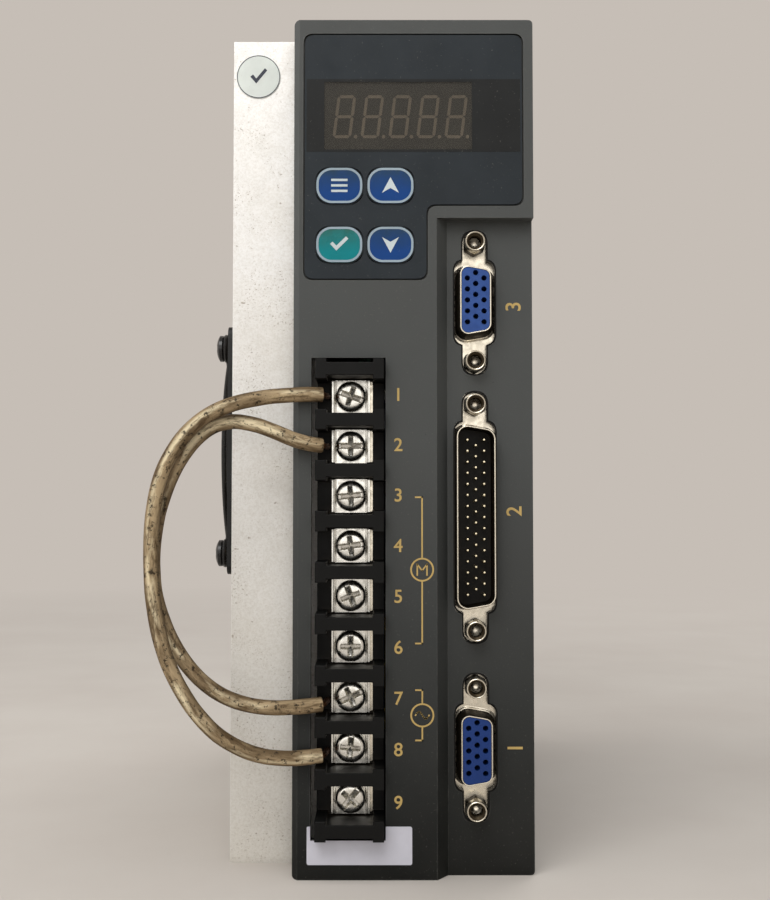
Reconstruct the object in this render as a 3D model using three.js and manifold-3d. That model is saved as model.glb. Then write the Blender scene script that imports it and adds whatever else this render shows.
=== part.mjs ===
// Book-style AC servo drive with its boards inside: case, side heat sink with fan, terminal block,
// three D-sub connectors, keypad with display, and two jumper wires across the terminals.
// Millimetres, +Z up. X runs to the right seen from the front, Y runs back. The origin is the middle
// of the rear fixing face, straight behind the middle of the front cover.
import * as THREE from 'three';
import { mergeVertices } from 'three/addons/utils/BufferGeometryUtils.js';
import Module from 'manifold-3d';

const wasm = await Module();
wasm.setup();

// ---------- overall sizes ----------
const FRONT_WIDTH = 50;
const HEIGHT = 178;
const DEPTH = 145;
const WALL = 2;
const CLEARANCE = 0.3;

const LEFT = -FRONT_WIDTH / 2;
const RIGHT = FRONT_WIDTH / 2;
const TOP = HEIGHT / 2;
const BOTTOM = -HEIGHT / 2;
const FRONT = -DEPTH;

// ---------- heat sink ----------
const COVER_DEPTH = 12.2;
const BASE_PLATE = 5;
const REAR_PLATE = 4;
const FIN_REACH = 14.1;
const FIN_THICKNESS = 2.2;
const FIN_COUNT = 14;
const FIX_SLOT_WIDTH = 5.5;
const FIX_SLOT_DEPTH = 7.8;
const FIX_SLOT_X = 2.5;
const POWER_POST_RADIUS = 3;

const SINK_FRONT = FRONT + COVER_DEPTH;
const SINK_FACE = LEFT + BASE_PLATE;
const FIN_TIP = LEFT - FIN_REACH;

// ---------- case ----------
const NOTCH_HEIGHT = 10;
const NOTCH_DEPTH = 15;
const CORNER = 1;
const EDGE_CHAMFER = 1.1;
const VENT_WIDTH = 2.2;
const VENT_PITCH = 5.6;
const CASE_REAR = -REAR_PLATE - CLEARANCE;
const ROOM_BACK = CASE_REAR - NOTCH_DEPTH - WALL;
const VENT_LENGTH = (ROOM_BACK - SINK_FRONT - 27.5) / 2;

// ---------- recess for the connectors ----------
const RECESS_WIDTH = 20.2;
const RECESS_SLANT = 2.3;
const RECESS_DEPTH = 3.3;
const RECESS_TOP = BOTTOM + 136.1;
const RECESS_FLOOR = FRONT + RECESS_DEPTH;

// ---------- keypad, window and display ----------
const OVERLAY_SIDE = 2.3;
const OVERLAY_TOP = TOP - 3.2;
const OVERLAY_BAND_HEIGHT = 35.9;
const OVERLAY_HEIGHT = 51.5;
const OVERLAY_TAB_WIDTH = FRONT_WIDTH - RECESS_WIDTH - OVERLAY_SIDE - 2.1;
const OVERLAY_CORNER = 2;
const OVERLAY_THICKNESS = 0.5;
const OVERLAY_POCKET = 0.7;
const WINDOW_WIDTH = 31.1;
const WINDOW_HEIGHT = 14.5;
const WINDOW_LEFT = LEFT + 6.25;
const WINDOW_TOP = TOP - 13.1;
const WINDOW_LEDGE = 0.8;
const KEY_COLUMN_PITCH = (OVERLAY_TAB_WIDTH - 4.1) / 2;
const KEY_WIDTH = KEY_COLUMN_PITCH - 1.1;
const KEY_HEIGHT = 7.4;
const KEY_CORNER = 3.2;
const KEY_PROUD = 0.4;
const KEY_THICKNESS = 3.4;
const KEY_TRAVEL = 0.4;
const KEY_ROW_PITCH = 12.4;
const KEY_X = LEFT + OVERLAY_SIDE + 7.25;
const KEY_Z = TOP - 35.2;
const SWITCH_SIZE = 6;
const SWITCH_HEIGHT = 3.4;
const BOARD_THICKNESS = 1.6;
const DISPLAY_BOARD_WIDTH = 37;
const DISPLAY_BOARD_HEIGHT = 51;
const DISPLAY_TAB_WIDTH = FRONT_WIDTH - RECESS_WIDTH - 5.3;
const DISPLAY_POST_RADIUS = 1.6;

// ---------- terminal block ----------
const POLES = 9;
const POLE_PITCH = 10.4;
const BLOCK_LEFT = LEFT + 4.8;
const BLOCK_WIDTH = 14.1;
const BLOCK_END = 2.3;
const BLOCK_BOTTOM = BOTTOM + 8.3;
const BLOCK_SINK = 5.6;
const BARRIER_PROUD = 3.5;
const BARRIER_THICKNESS = 2.7;
const BARRIER_END_THICKNESS = 4.2;
const BARRIER_END_WIDTH = 2.3;
const FOOT_WIDTH = 5;
const FOOT_DEPTH = 11;
const SCREW_X = LEFT + 11.9;
const SCREW_RADIUS = 1.5;
const SCREW_LENGTH = 6;
const SCREW_HEAD_HEIGHT = 2;
const WASHER_WIDTH = 8;
const WASHER_HEIGHT = POLE_PITCH - BARRIER_THICKNESS - 2 * CLEARANCE;
const SCREW_HEAD_RADIUS = WASHER_HEIGHT / 2 - 0.35;
const WASHER_THICKNESS = 0.8;
const WASHER_LIP = 0.6;
const WASHER_GAP = 0.4;

const BLOCK_FLOOR = FRONT + BLOCK_SINK;
const BLOCK_BACK = SINK_FRONT - 2 * CLEARANCE;
const BLOCK_LENGTH = POLES * POLE_PITCH + 2 * BLOCK_END;
const BLOCK_MIDDLE = BLOCK_BOTTOM + BLOCK_LENGTH / 2;
const WASHER_FRONT = BLOCK_FLOOR - CLEARANCE - WASHER_THICKNESS;
const poleZ = (pole) => BLOCK_MIDDLE + POLE_PITCH * ((POLES + 1) / 2 - pole);

// ---------- D-sub connectors ----------
const CONNECTOR_X = RIGHT - 12.1;
const PIN_PITCH = 2.29;
const PIN_ROW = 1.98;
const FLANGE_WIDTH = 12.55;
const FLANGE_THICKNESS = 0.8;
const FLANGE_END = 2.92;
const SHELL_WALL = 0.5;
const SHELL_PROUD = 5.9;
const SHELL_CORNER = 2.4;
const SHELL_SLOPE = Math.tan(THREE.MathUtils.degToRad(10));
const CUTOUT_WIDTH = 9.1;
const LOBE_WIDTH = 5.6;
const JACK_FLATS = 4.8;
const JACK_HEIGHT = 4.9;
const JACK_STUD_RADIUS = 1.4;
const JACK_STUD_LENGTH = 3.6;
const CONNECTOR_BODY_DEPTH = 11;
const FLANGE_FRONT = RECESS_FLOOR + WALL + CLEARANCE;

const SMALL_CONNECTOR = { long: 16.33, short: 7.9, jackSpacing: 24.99, cutout: 18.5, rows: [5, 5, 5] };
const LARGE_CONNECTOR = { long: 38.96, short: 8.36, jackSpacing: 47.04, cutout: 40.6, rows: [15, 14, 15] };
const CN1_Z = BOTTOM + 26.1;
const CN2_Z = BOTTOM + 73.8;
const CN3_Z = BOTTOM + 118.85;

// ---------- boards and what they carry ----------
const CONTROL_STANDOFF = 1.5;
const CONTROL_RIGHT = RIGHT - WALL - CONTROL_STANDOFF - CLEARANCE;
const CONTROL_LEFT = CONTROL_RIGHT - BOARD_THICKNESS;
const POWER_GAP = 8.3;
const POWER_LEFT = SINK_FACE + POWER_GAP;
const POWER_RIGHT = POWER_LEFT + BOARD_THICKNESS;
const CAPACITOR_RADIUS = 12.5;
const CAPACITOR_HEIGHT = 27;
const CAPACITOR_PITCH = 28;
const CAPACITOR_COUNT = 3;

// ---------- fan ----------
const FAN_SIZE = 60;
const FAN_DEPTH = 15;
const FAN_PROUD = 4.8;
const FAN_Y = FRONT + 71;
const FAN_Z = 0.5;
const FAN_WALL = 1.5;
const FAN_HOLE_SPACING = FAN_SIZE - 10;
const FAN_SCREW_RADIUS = 1.75;
const FAN_CORNER = 3;
const HUB_RADIUS = 14;
const HUB_DEPTH = 9.5;
const BLADE_COUNT = 7;
const BLADE_CHORD = 13;
const BLADE_THICKNESS = 1.6;
const BLADE_PITCH = THREE.MathUtils.degToRad(38);
const TIP_GAP = 0.9;
const STRUT_DEPTH = 2.2;
const AXLE_RADIUS = 1.5;
const GUARD_WIRE = 0.6;
const GUARD_INNER = 9;
const GUARD_OUTER = FAN_SIZE / 2 - 0.5;
const GUARD_RINGS = [0, 1, 2, 3].map((i) => GUARD_INNER + i * (GUARD_OUTER - GUARD_INNER) / 3);
const GUARD_LOOP = 2.9;

const FAN_FRONT = FIN_TIP - FAN_PROUD;
const FAN_BACK = FAN_FRONT + FAN_DEPTH;
const BORE_RADIUS = FAN_SIZE / 2 - FAN_WALL;
const GUARD_X = FAN_FRONT - CLEARANCE - GUARD_WIRE;

// ---------- jumper wires ----------
const WIRE_RADIUS = 1.6;
const WIRE_SIDES = 8;
const WIRE_STEPS = 32;

// Each jumper's insulated length, from the lower terminal up to the upper one, points on its middle line.
const OUTER_ROUTE = [
  [-18.8, -146.1, -63.6],
  [-20.2, -146.5, -63.7],
  [-21.4, -146.75, -63.8],
  [-24.5, -147, -64],
  [-30.2, -148.1, -63.4],
  [-34.8, -148.8, -61.8],
  [-39.2, -149.5, -59.1],
  [-43.4, -150, -54.9],
  [-47.1, -150.2, -49.4],
  [-49.8, -150.3, -43.7],
  [-51.6, -150.3, -37.6],
  [-52.6, -150.3, -31.7],
  [-53, -150.3, -26.7],
  [-53.1, -150.3, -22],
  [-52.9, -150.3, -16.1],
  [-52.1, -150.3, -10.2],
  [-50.2, -150.3, -4.4],
  [-47, -150.3, 0.8],
  [-42.7, -150.2, 4.9],
  [-37.4, -149.6, 7.6],
  [-31, -148.2, 9.2],
  [-24.5, -147, 9.9],
  [-21.4, -146.75, 10],
  [-20.2, -146.5, 10],
  [-18.8, -146.1, 10],
];
const INNER_ROUTE = [
  [-18.8, -146.1, -53.3],
  [-20.2, -146.5, -53.4],
  [-21.4, -146.75, -53.5],
  [-24.4, -147, -53.7],
  [-29.1, -147.05, -53.8],
  [-33.9, -146.95, -53.2],
  [-38.7, -146.7, -51.6],
  [-42.9, -146.6, -48.8],
  [-46.4, -146.5, -45.1],
  [-49.3, -146.5, -40.7],
  [-51.4, -146.5, -35.9],
  [-52.8, -146.5, -31.3],
  [-53.4, -146.5, -26.6],
  [-53.4, -146.5, -22],
  [-52.9, -146.5, -17.2],
  [-51.7, -146.5, -12],
  [-49.8, -146.5, -6.8],
  [-47.2, -146.6, -2.2],
  [-44.1, -146.7, 1.4],
  [-40.8, -146.8, 3.6],
  [-37, -146.9, 4.4],
  [-32.5, -147, 3.7],
  [-28.2, -147.05, 2.2],
  [-24.6, -147, 0.7],
  [-21.4, -146.75, -0.15],
  [-20.2, -146.5, -0.35],
  [-18.8, -146.1, -0.45],
];
const BARE_RADIUS = 0.6;
const BARE_END = [-17.85, -140.3];

// ---------- solids ----------

// A closed geometry as a solid that can be joined and cut.
function solid(geometry) {
  const bare = geometry.clone();
  bare.deleteAttribute('normal');
  bare.deleteAttribute('uv');
  const merged = mergeVertices(bare, 1e-4);
  const corners = merged.index.array;
  const kept = [];
  for (let i = 0; i < corners.length; i += 3) {
    const [a, b, c] = corners.slice(i, i + 3);
    if (a !== b && b !== c && c !== a) kept.push(a, b, c);
  }
  const vertProperties = merged.attributes.position.array;
  return new wasm.Manifold(new wasm.Mesh({ numProp: 3, vertProperties, triVerts: new Uint32Array(kept) }));
}

function joined(pieces) {
  return pieces.reduce((whole, piece) => whole.add(piece));
}

function cut(body, tools) {
  return tools.reduce((rest, tool) => rest.subtract(tool), body);
}

// A box between two values on each axis.
function box([x0, x1], [y0, y1], [z0, z1]) {
  const geometry = new THREE.BoxGeometry(x1 - x0, y1 - y0, z1 - z0);
  geometry.translate((x0 + x1) / 2, (y0 + y1) / 2, (z0 + z1) / 2);
  return solid(geometry);
}

// A round rod along one axis; place holds its other two coordinates.
function rod(axis, place, radius, [from, to], sides = 24) {
  const geometry = new THREE.CylinderGeometry(radius, radius, to - from, sides);
  const middle = (from + to) / 2;
  const [a, b] = place;
  if (axis === 'x') geometry.rotateZ(-Math.PI / 2).translate(middle, a, b);
  if (axis === 'y') geometry.translate(a, middle, b);
  if (axis === 'z') geometry.rotateX(Math.PI / 2).translate(a, b, middle);
  return solid(geometry);
}

function extruded(shape, depth) {
  return new THREE.ExtrudeGeometry(shape, { depth, bevelEnabled: false, curveSegments: 5, steps: 1 });
}

// A shape drawn in (x, z), given a thickness along Y.
function slabY(shape, [from, to]) {
  return solid(extruded(shape, to - from).rotateX(Math.PI / 2).translate(0, to, 0));
}

// A shape drawn in (y, z), given a thickness along X.
function slabX(shape, [from, to]) {
  const turn = new THREE.Matrix4().makeBasis(
    new THREE.Vector3(0, 1, 0),
    new THREE.Vector3(0, 0, 1),
    new THREE.Vector3(1, 0, 0),
  );
  return solid(extruded(shape, to - from).applyMatrix4(turn).translate(from, 0, 0));
}

// A shape drawn in (x, y), given a thickness along Z.
function slabZ(shape, [from, to]) {
  return solid(extruded(shape, to - from).translate(0, 0, from));
}

// A polygon whose corners are all rounded by one radius.
function roundedPolygon(points, radius) {
  const shape = new THREE.Shape();
  const corners = points.map((point) => new THREE.Vector2(...point));
  corners.forEach((corner, i) => {
    const before = corners.at(i - 1);
    const after = corners[(i + 1) % corners.length];
    const back = before.clone().sub(corner).normalize();
    const ahead = after.clone().sub(corner).normalize();
    const reach = radius / Math.tan(Math.acos(back.dot(ahead)) / 2);
    const start = corner.clone().addScaledVector(back, reach);
    const end = corner.clone().addScaledVector(ahead, reach);
    if (i === 0) shape.moveTo(start.x, start.y);
    else shape.lineTo(start.x, start.y);
    shape.quadraticCurveTo(corner.x, corner.y, end.x, end.y);
  });
  shape.closePath();
  return shape;
}

function polygon(points) {
  return new THREE.Shape(points.map((point) => new THREE.Vector2(...point)));
}

function rectangle([x0, x1], [y0, y1], radius) {
  const points = [[x0, y0], [x1, y0], [x1, y1], [x0, y1]];
  return radius ? roundedPolygon(points, radius) : polygon(points);
}

// A profile of (radius, height) points turned about the Y axis, listed from the bottom up.
function turned(profile, sides) {
  return solid(new THREE.LatheGeometry(profile.map((point) => new THREE.Vector2(...point)), sides));
}

// ---------- assembly ----------
const drive = new THREE.Group();

function addPiece(name, body, [color, roughness, metalness], place = [0, 0, 0], turn = 0) {
  const mesh = body.getMesh();
  const geometry = new THREE.BufferGeometry();
  geometry.setAttribute('position', new THREE.Float32BufferAttribute(mesh.vertProperties, 3));
  geometry.setIndex(new THREE.Uint32BufferAttribute(mesh.triVerts, 1));
  geometry.computeVertexNormals();
  const material = new THREE.MeshStandardMaterial({ color, roughness, metalness, flatShading: true });
  const piece = new THREE.Mesh(geometry, material);
  piece.name = name;
  piece.position.set(...place);
  piece.rotation.y = turn;
  drive.add(piece);
}

const HOUSING = [0x45464a, 0.6, 0];
const CAST_ALUMINIUM = [0xdcdcd4, 0.7, 0.4];
const MEMBRANE = [0x373b40, 0.5, 0];
const BLACK_PLASTIC = [0x1a1a18, 0.5, 0];
const NICKEL = [0xb9b4a8, 0.35, 0.9];
const GREEN_BOARD = [0x2f6b45, 0.5, 0];

// ---------- heat sink ----------
function heatSink() {
  const height = [BOTTOM, TOP];
  const base = box([LEFT, SINK_FACE], [SINK_FRONT, 0], height);
  const rear = box([FIN_TIP, RIGHT], [-REAR_PLATE, 0], height);
  const pitch = (-REAR_PLATE - SINK_FRONT) / FIN_COUNT;
  const fins = Array.from({ length: FIN_COUNT }, (_, i) => {
    const y = SINK_FRONT + i * pitch;
    return box([FIN_TIP, LEFT + CLEARANCE], [y, y + FIN_THICKNESS], height);
  });
  const posts = powerPosts().map((place) => {
    return rod('x', place, POWER_POST_RADIUS, [SINK_FACE - 1, POWER_LEFT - CLEARANCE], 16);
  });
  const reach = FAN_SIZE / 2 + CLEARANCE;
  const pocket = box(
    [FIN_TIP - 1, FAN_BACK + CLEARANCE],
    [FAN_Y - reach, FAN_Y + reach],
    [FAN_Z - reach, FAN_Z + reach],
  );
  const slotX = [FIX_SLOT_X - FIX_SLOT_WIDTH / 2, FIX_SLOT_X + FIX_SLOT_WIDTH / 2];
  const slots = [1, -1].map((side) => {
    const mouth = side * (TOP + FIX_SLOT_WIDTH);
    const end = side * (TOP - FIX_SLOT_DEPTH);
    const slot = rectangle(slotX, [Math.min(mouth, end), Math.max(mouth, end)], FIX_SLOT_WIDTH / 2 - 0.01);
    return slabY(slot, [-REAR_PLATE - 1, 1]);
  });
  return cut(joined([base, rear, ...fins, ...posts]), [pocket, ...slots]);
}

// Where the power board stands on the heat sink, as (y, z).
function powerPosts() {
  const front = SINK_FRONT + 20;
  const back = -REAR_PLATE - 12;
  return [front, back].flatMap((y) => [[y, BOTTOM + 18], [y, BOTTOM + 130]]);
}

addPiece('heat_sink', heatSink(), CAST_ALUMINIUM);

// ---------- case shell ----------
function notches(grow) {
  const y = [CASE_REAR - NOTCH_DEPTH - grow, CASE_REAR + 1];
  const x = [LEFT - 1, RIGHT + 1];
  const upper = box(x, y, [TOP - NOTCH_HEIGHT - grow, TOP + 1]);
  const lower = box(x, y, [BOTTOM - 1, BOTTOM + NOTCH_HEIGHT + grow]);
  return [upper, lower];
}

// Rows of slots in the top, the bottom and the right wall.
function vents() {
  const slots = [];
  const across = Math.floor((FRONT_WIDTH - BASE_PLATE - 8) / VENT_PITCH);
  const firstX = SINK_FACE + 5;
  const length = [SINK_FRONT + 10, SINK_FRONT + 18 + VENT_LENGTH].map((y) => [y, y + VENT_LENGTH]);
  for (let i = 0; i < across; i += 1) {
    const x = [firstX + i * VENT_PITCH, firstX + i * VENT_PITCH + VENT_WIDTH];
    for (const y of length) {
      slots.push(box(x, y, [TOP - WALL - 1, TOP + 1]));
      slots.push(box(x, y, [BOTTOM - 1, BOTTOM + WALL + 1]));
    }
  }
  const along = Math.floor((CASE_REAR - NOTCH_DEPTH - SINK_FRONT - 16) / VENT_PITCH);
  for (let i = 0; i < along; i += 1) {
    const y = SINK_FRONT + 10 + i * VENT_PITCH;
    for (const z of [[TOP - 40, TOP - 12], [BOTTOM + 12, BOTTOM + 40]]) {
      slots.push(box([RIGHT - WALL - 1, RIGHT + 1], [y, y + VENT_WIDTH], z));
    }
  }
  return slots;
}

// Where the control board stands on the right wall, as (y, z).
function controlPosts() {
  const near = SINK_FRONT + 7;
  const far = ROOM_BACK - 25.5;
  return [near, far].flatMap((y) => [[y, CN1_Z + 20], [y, CN3_Z - 22]]);
}

function caseShell() {
  const left = SINK_FACE + CLEARANCE;
  const block = box([left, RIGHT], [SINK_FRONT, CASE_REAR], [BOTTOM, TOP]);
  const outline = slabY(rectangle([LEFT, RIGHT], [BOTTOM, TOP], CORNER), [FRONT, 0]);
  const outside = cut(block.intersect(outline), notches(0));
  const room = box([left - 1, RIGHT - WALL], [SINK_FRONT - 1, CASE_REAR + 1], [BOTTOM + WALL, TOP - WALL]);
  const inside = cut(room, notches(WALL));
  const posts = controlPosts().map((place) => {
    return rod('x', place, 2.6, [CONTROL_RIGHT + CLEARANCE, RIGHT - WALL / 2], 16);
  });
  return cut(joined([cut(outside, [inside]), ...posts]), vents());
}

addPiece('case_shell', caseShell(), HOUSING);

// ---------- front cover ----------
function recess(grow) {
  const slant = RECESS_SLANT / RECESS_DEPTH;
  const edge = RIGHT - RECESS_WIDTH - grow;
  const floor = RECESS_FLOOR + grow;
  const profile = polygon([
    [edge - slant, FRONT - 1],
    [edge + slant * (floor - FRONT), floor],
    [RIGHT + 1, floor],
    [RIGHT + 1, FRONT - 1],
  ]);
  return slabZ(profile, [BOTTOM - 1, RECESS_TOP + grow]);
}

function overlayOutline(grow) {
  const left = LEFT + OVERLAY_SIDE - grow;
  const right = RIGHT - OVERLAY_SIDE + grow;
  const tab = LEFT + OVERLAY_SIDE + OVERLAY_TAB_WIDTH + grow;
  const bottom = OVERLAY_TOP - OVERLAY_HEIGHT - grow;
  const step = OVERLAY_TOP - OVERLAY_BAND_HEIGHT - grow;
  const top = OVERLAY_TOP + grow;
  return roundedPolygon(
    [[left, bottom], [tab, bottom], [tab, step], [right, step], [right, top], [left, top]],
    OVERLAY_CORNER,
  );
}

function windowOutline(grow) {
  const x = [WINDOW_LEFT - grow, WINDOW_LEFT + WINDOW_WIDTH + grow];
  const z = [WINDOW_TOP - WINDOW_HEIGHT - grow, WINDOW_TOP + grow];
  return rectangle(x, z);
}

function keyOutline(grow) {
  const half = [KEY_WIDTH / 2 + grow, KEY_HEIGHT / 2 + grow];
  return rectangle([-half[0], half[0]], [-half[1], half[1]], KEY_CORNER + grow);
}

const KEYS = [
  { name: 'key_menu', column: 0, row: 0, color: 0x1e4b91 },
  { name: 'key_up', column: 1, row: 0, color: 0x1e4b91 },
  { name: 'key_set', column: 0, row: 1, color: 0x148c96 },
  { name: 'key_down', column: 1, row: 1, color: 0x1e4b91 },
];
const keyPlace = (key) => [KEY_X + key.column * KEY_COLUMN_PITCH, 0, KEY_Z - key.row * KEY_ROW_PITCH];
const keyOpenings = (thickness) => {
  return KEYS.map((key) => slabY(keyOutline(CLEARANCE), thickness).translate(keyPlace(key)));
};

const KEY_BACK = FRONT - KEY_PROUD + KEY_THICKNESS;
const DISPLAY_BOARD_FRONT = KEY_BACK + KEY_TRAVEL + CLEARANCE + SWITCH_HEIGHT;

// Where the display board is screwed to the cover, as (x, z).
function displayPosts() {
  const x = [LEFT + 5.5, LEFT + 37];
  const upper = TOP - 7.5;
  const lower = OVERLAY_TOP - OVERLAY_HEIGHT + 1.1;
  return [[x[0], upper], [x[1], upper], [x[0], lower], [x[0] + 18, lower]];
}

function blockSlot() {
  const x = [LEFT + 3.8, BLOCK_LEFT + BLOCK_WIDTH + CLEARANCE];
  const z = [BLOCK_BOTTOM - CLEARANCE, BLOCK_BOTTOM + BLOCK_LENGTH + CLEARANCE];
  return box(x, [FRONT - 1, FRONT + WALL + 1], z);
}

function connectorOpening(type, z) {
  const thickness = [RECESS_FLOOR - 1, RECESS_FLOOR + WALL + 1];
  const reach = type.jackSpacing / 2 + FLANGE_END;
  const middle = rectangle([-CUTOUT_WIDTH / 2, CUTOUT_WIDTH / 2], [-type.cutout / 2, type.cutout / 2], 2.5);
  const lobes = rectangle([-LOBE_WIDTH / 2, LOBE_WIDTH / 2], [-reach, reach], LOBE_WIDTH / 2 - 0.01);
  return joined([slabY(middle, thickness), slabY(lobes, thickness)]).translate([CONNECTOR_X, 0, z]);
}

function frontCover() {
  const depth = [FRONT, SINK_FRONT - CLEARANCE];
  const outline = slabY(rectangle([LEFT, RIGHT], [BOTTOM, TOP], CORNER), depth);
  const chamfer = slabZ(
    polygon([
      [LEFT - 1, FRONT - 1],
      [LEFT + EDGE_CHAMFER + 1, FRONT - 1],
      [LEFT - 1, FRONT + EDGE_CHAMFER + 1],
    ]),
    [BOTTOM - 1, TOP + 1],
  );
  const outside = cut(outline, [recess(0), chamfer]);
  const room = box([LEFT + WALL, RIGHT - WALL], [FRONT + WALL, SINK_FRONT], [BOTTOM + WALL, TOP - WALL]);
  const inside = cut(room, [recess(WALL)]);
  const posts = displayPosts().map((place) => {
    return rod('y', place, DISPLAY_POST_RADIUS, [FRONT + WALL / 2, DISPLAY_BOARD_FRONT - CLEARANCE], 12);
  });
  return cut(joined([cut(outside, [inside]), ...posts]), [
    slabY(overlayOutline(CLEARANCE), [FRONT - 1, FRONT + OVERLAY_POCKET]),
    slabY(windowOutline(-WINDOW_LEDGE), [FRONT - 1, FRONT + WALL + 1]),
    ...keyOpenings([FRONT - 1, FRONT + WALL + 1]),
    blockSlot(),
    connectorOpening(SMALL_CONNECTOR, CN1_Z),
    connectorOpening(LARGE_CONNECTOR, CN2_Z),
    connectorOpening(SMALL_CONNECTOR, CN3_Z),
  ]);
}

addPiece('front_cover', frontCover(), HOUSING);

// ---------- keypad and display ----------
const overlayDepth = [FRONT, FRONT + OVERLAY_THICKNESS];
const overlay = cut(slabY(overlayOutline(0), overlayDepth), [
  slabY(windowOutline(CLEARANCE), [FRONT - 1, FRONT + 1]),
  ...keyOpenings([FRONT - 1, FRONT + 1]),
]);
addPiece('keypad_overlay', overlay, MEMBRANE);
addPiece('display_window', slabY(windowOutline(0), overlayDepth), [0x534f4a, 0.2, 0]);

for (const key of KEYS) {
  const cap = slabY(keyOutline(0), [FRONT - KEY_PROUD, KEY_BACK]);
  addPiece(key.name, cap, [key.color, 0.45, 0], keyPlace(key));
}

const displayDepth = [FRONT + OVERLAY_THICKNESS + CLEARANCE, DISPLAY_BOARD_FRONT - CLEARANCE];
const display = slabY(windowOutline(-WINDOW_LEDGE - CLEARANCE), displayDepth);
addPiece('led_display', display, [0x3a3733, 0.4, 0]);

function displayBoard() {
  const left = LEFT + WALL + 1;
  const top = TOP - WALL - 2;
  const back = DISPLAY_BOARD_FRONT + BOARD_THICKNESS;
  const thickness = [DISPLAY_BOARD_FRONT, back];
  const band = box([left, left + DISPLAY_BOARD_WIDTH], thickness, [RECESS_TOP + WALL, top]);
  const tab = box([left, left + DISPLAY_TAB_WIDTH], thickness, [top - DISPLAY_BOARD_HEIGHT, top]);
  const half = SWITCH_SIZE / 2;
  const button = box([-half, half], [DISPLAY_BOARD_FRONT - SWITCH_HEIGHT, back], [-half, half]);
  return joined([band, tab, ...KEYS.map((key) => button.translate(keyPlace(key)))]);
}

addPiece('display_board', displayBoard(), GREEN_BOARD);

// ---------- terminal block ----------
function terminalBlock() {
  const right = BLOCK_LEFT + BLOCK_WIDTH;
  const length = [BLOCK_BOTTOM, BLOCK_BOTTOM + BLOCK_LENGTH];
  const base = box([BLOCK_LEFT, right], [BLOCK_FLOOR, BLOCK_BACK], length);
  const footRight = POWER_LEFT - CLEARANCE;
  const foot = box(
    [footRight - FOOT_WIDTH, footRight],
    [BLOCK_BACK - 1, BLOCK_BACK + FOOT_DEPTH],
    [length[0] + 2, length[1] - 2],
  );
  const tall = [FRONT - BARRIER_PROUD, BLOCK_FLOOR + 1];
  const half = BARRIER_THICKNESS / 2;
  const endHalf = BARRIER_END_THICKNESS / 2;
  const barrier = joined([
    box([BLOCK_LEFT, right], tall, [-half, half]),
    box([BLOCK_LEFT, BLOCK_LEFT + BARRIER_END_WIDTH], tall, [-endHalf, endHalf]),
    box([right - BARRIER_END_WIDTH, right], tall, [-endHalf, endHalf]),
  ]);
  const barriers = Array.from({ length: POLES + 1 }, (_, i) => {
    return barrier.translate([0, 0, poleZ(i + 0.5)]);
  });
  const depth = [BLOCK_FLOOR - 1, BLOCK_FLOOR + SCREW_LENGTH - CLEARANCE];
  const holes = Array.from({ length: POLES }, (_, i) => {
    return rod('y', [SCREW_X, poleZ(i + 1)], SCREW_RADIUS + CLEARANCE, depth, 16);
  });
  return cut(joined([base, foot, ...barriers]), holes);
}

addPiece('terminal_block', terminalBlock(), BLACK_PLASTIC);

// Pan-head screw with a slot and a cross, its axis on Y, head to the front, head's back at y = 0.
function terminalScrew() {
  const rim = SCREW_HEAD_RADIUS;
  const body = turned([
    [0, -SCREW_HEAD_HEIGHT],
    [rim * 0.72, -SCREW_HEAD_HEIGHT * 0.9],
    [rim, -SCREW_HEAD_HEIGHT * 0.45],
    [rim, 0],
    [SCREW_RADIUS, 0],
    [SCREW_RADIUS, SCREW_LENGTH],
    [0, SCREW_LENGTH],
  ], 14);
  const depth = [-SCREW_HEAD_HEIGHT - 1, -SCREW_HEAD_HEIGHT * 0.45];
  const slot = box([-rim - 1, rim + 1], depth, [-0.5, 0.5]);
  const cross = box([-0.5, 0.5], depth, [-rim * 0.55, rim * 0.55]);
  return cut(body, [slot, cross]);
}

// Square washer with its left and right edges turned up, its back at y = 0.
function terminalWasher() {
  const half = [WASHER_WIDTH / 2, WASHER_HEIGHT / 2];
  const plate = box([-half[0], half[0]], [-WASHER_THICKNESS, 0], [-half[1], half[1]]);
  const lips = [-1, 1].map((side) => {
    const edge = [side * half[0], side * (half[0] - WASHER_LIP)].sort((a, b) => a - b);
    return box(edge, [-WASHER_THICKNESS - WASHER_LIP, 0], [-half[1], half[1]]);
  });
  const hole = rod('y', [0, 0], SCREW_RADIUS + WASHER_GAP, [-WASHER_THICKNESS - 1, 1], 16);
  return cut(joined([plate, ...lips]), [hole]);
}

const SCREW_TURNS = [20, 0, -5, -8, 70, 90, -25, 95, -50];
SCREW_TURNS.forEach((turn, i) => {
  const z = poleZ(i + 1);
  const angle = THREE.MathUtils.degToRad(turn);
  const seat = [SCREW_X, WASHER_FRONT - CLEARANCE, z];
  addPiece(`terminal_screw_${i + 1}`, terminalScrew(), NICKEL, seat, angle);
  addPiece(`terminal_washer_${i + 1}`, terminalWasher(), NICKEL, [SCREW_X, BLOCK_FLOOR - CLEARANCE, z]);
});

// ---------- D-sub connectors, each built about its own middle ----------
function shellOutline(type, grow) {
  const x = type.short / 2 + grow;
  const wide = type.long / 2 + grow;
  const narrow = wide - 2 * x * SHELL_SLOPE;
  return roundedPolygon([[-x, -wide], [x, -narrow], [x, narrow], [-x, wide]], SHELL_CORNER + grow);
}

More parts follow.
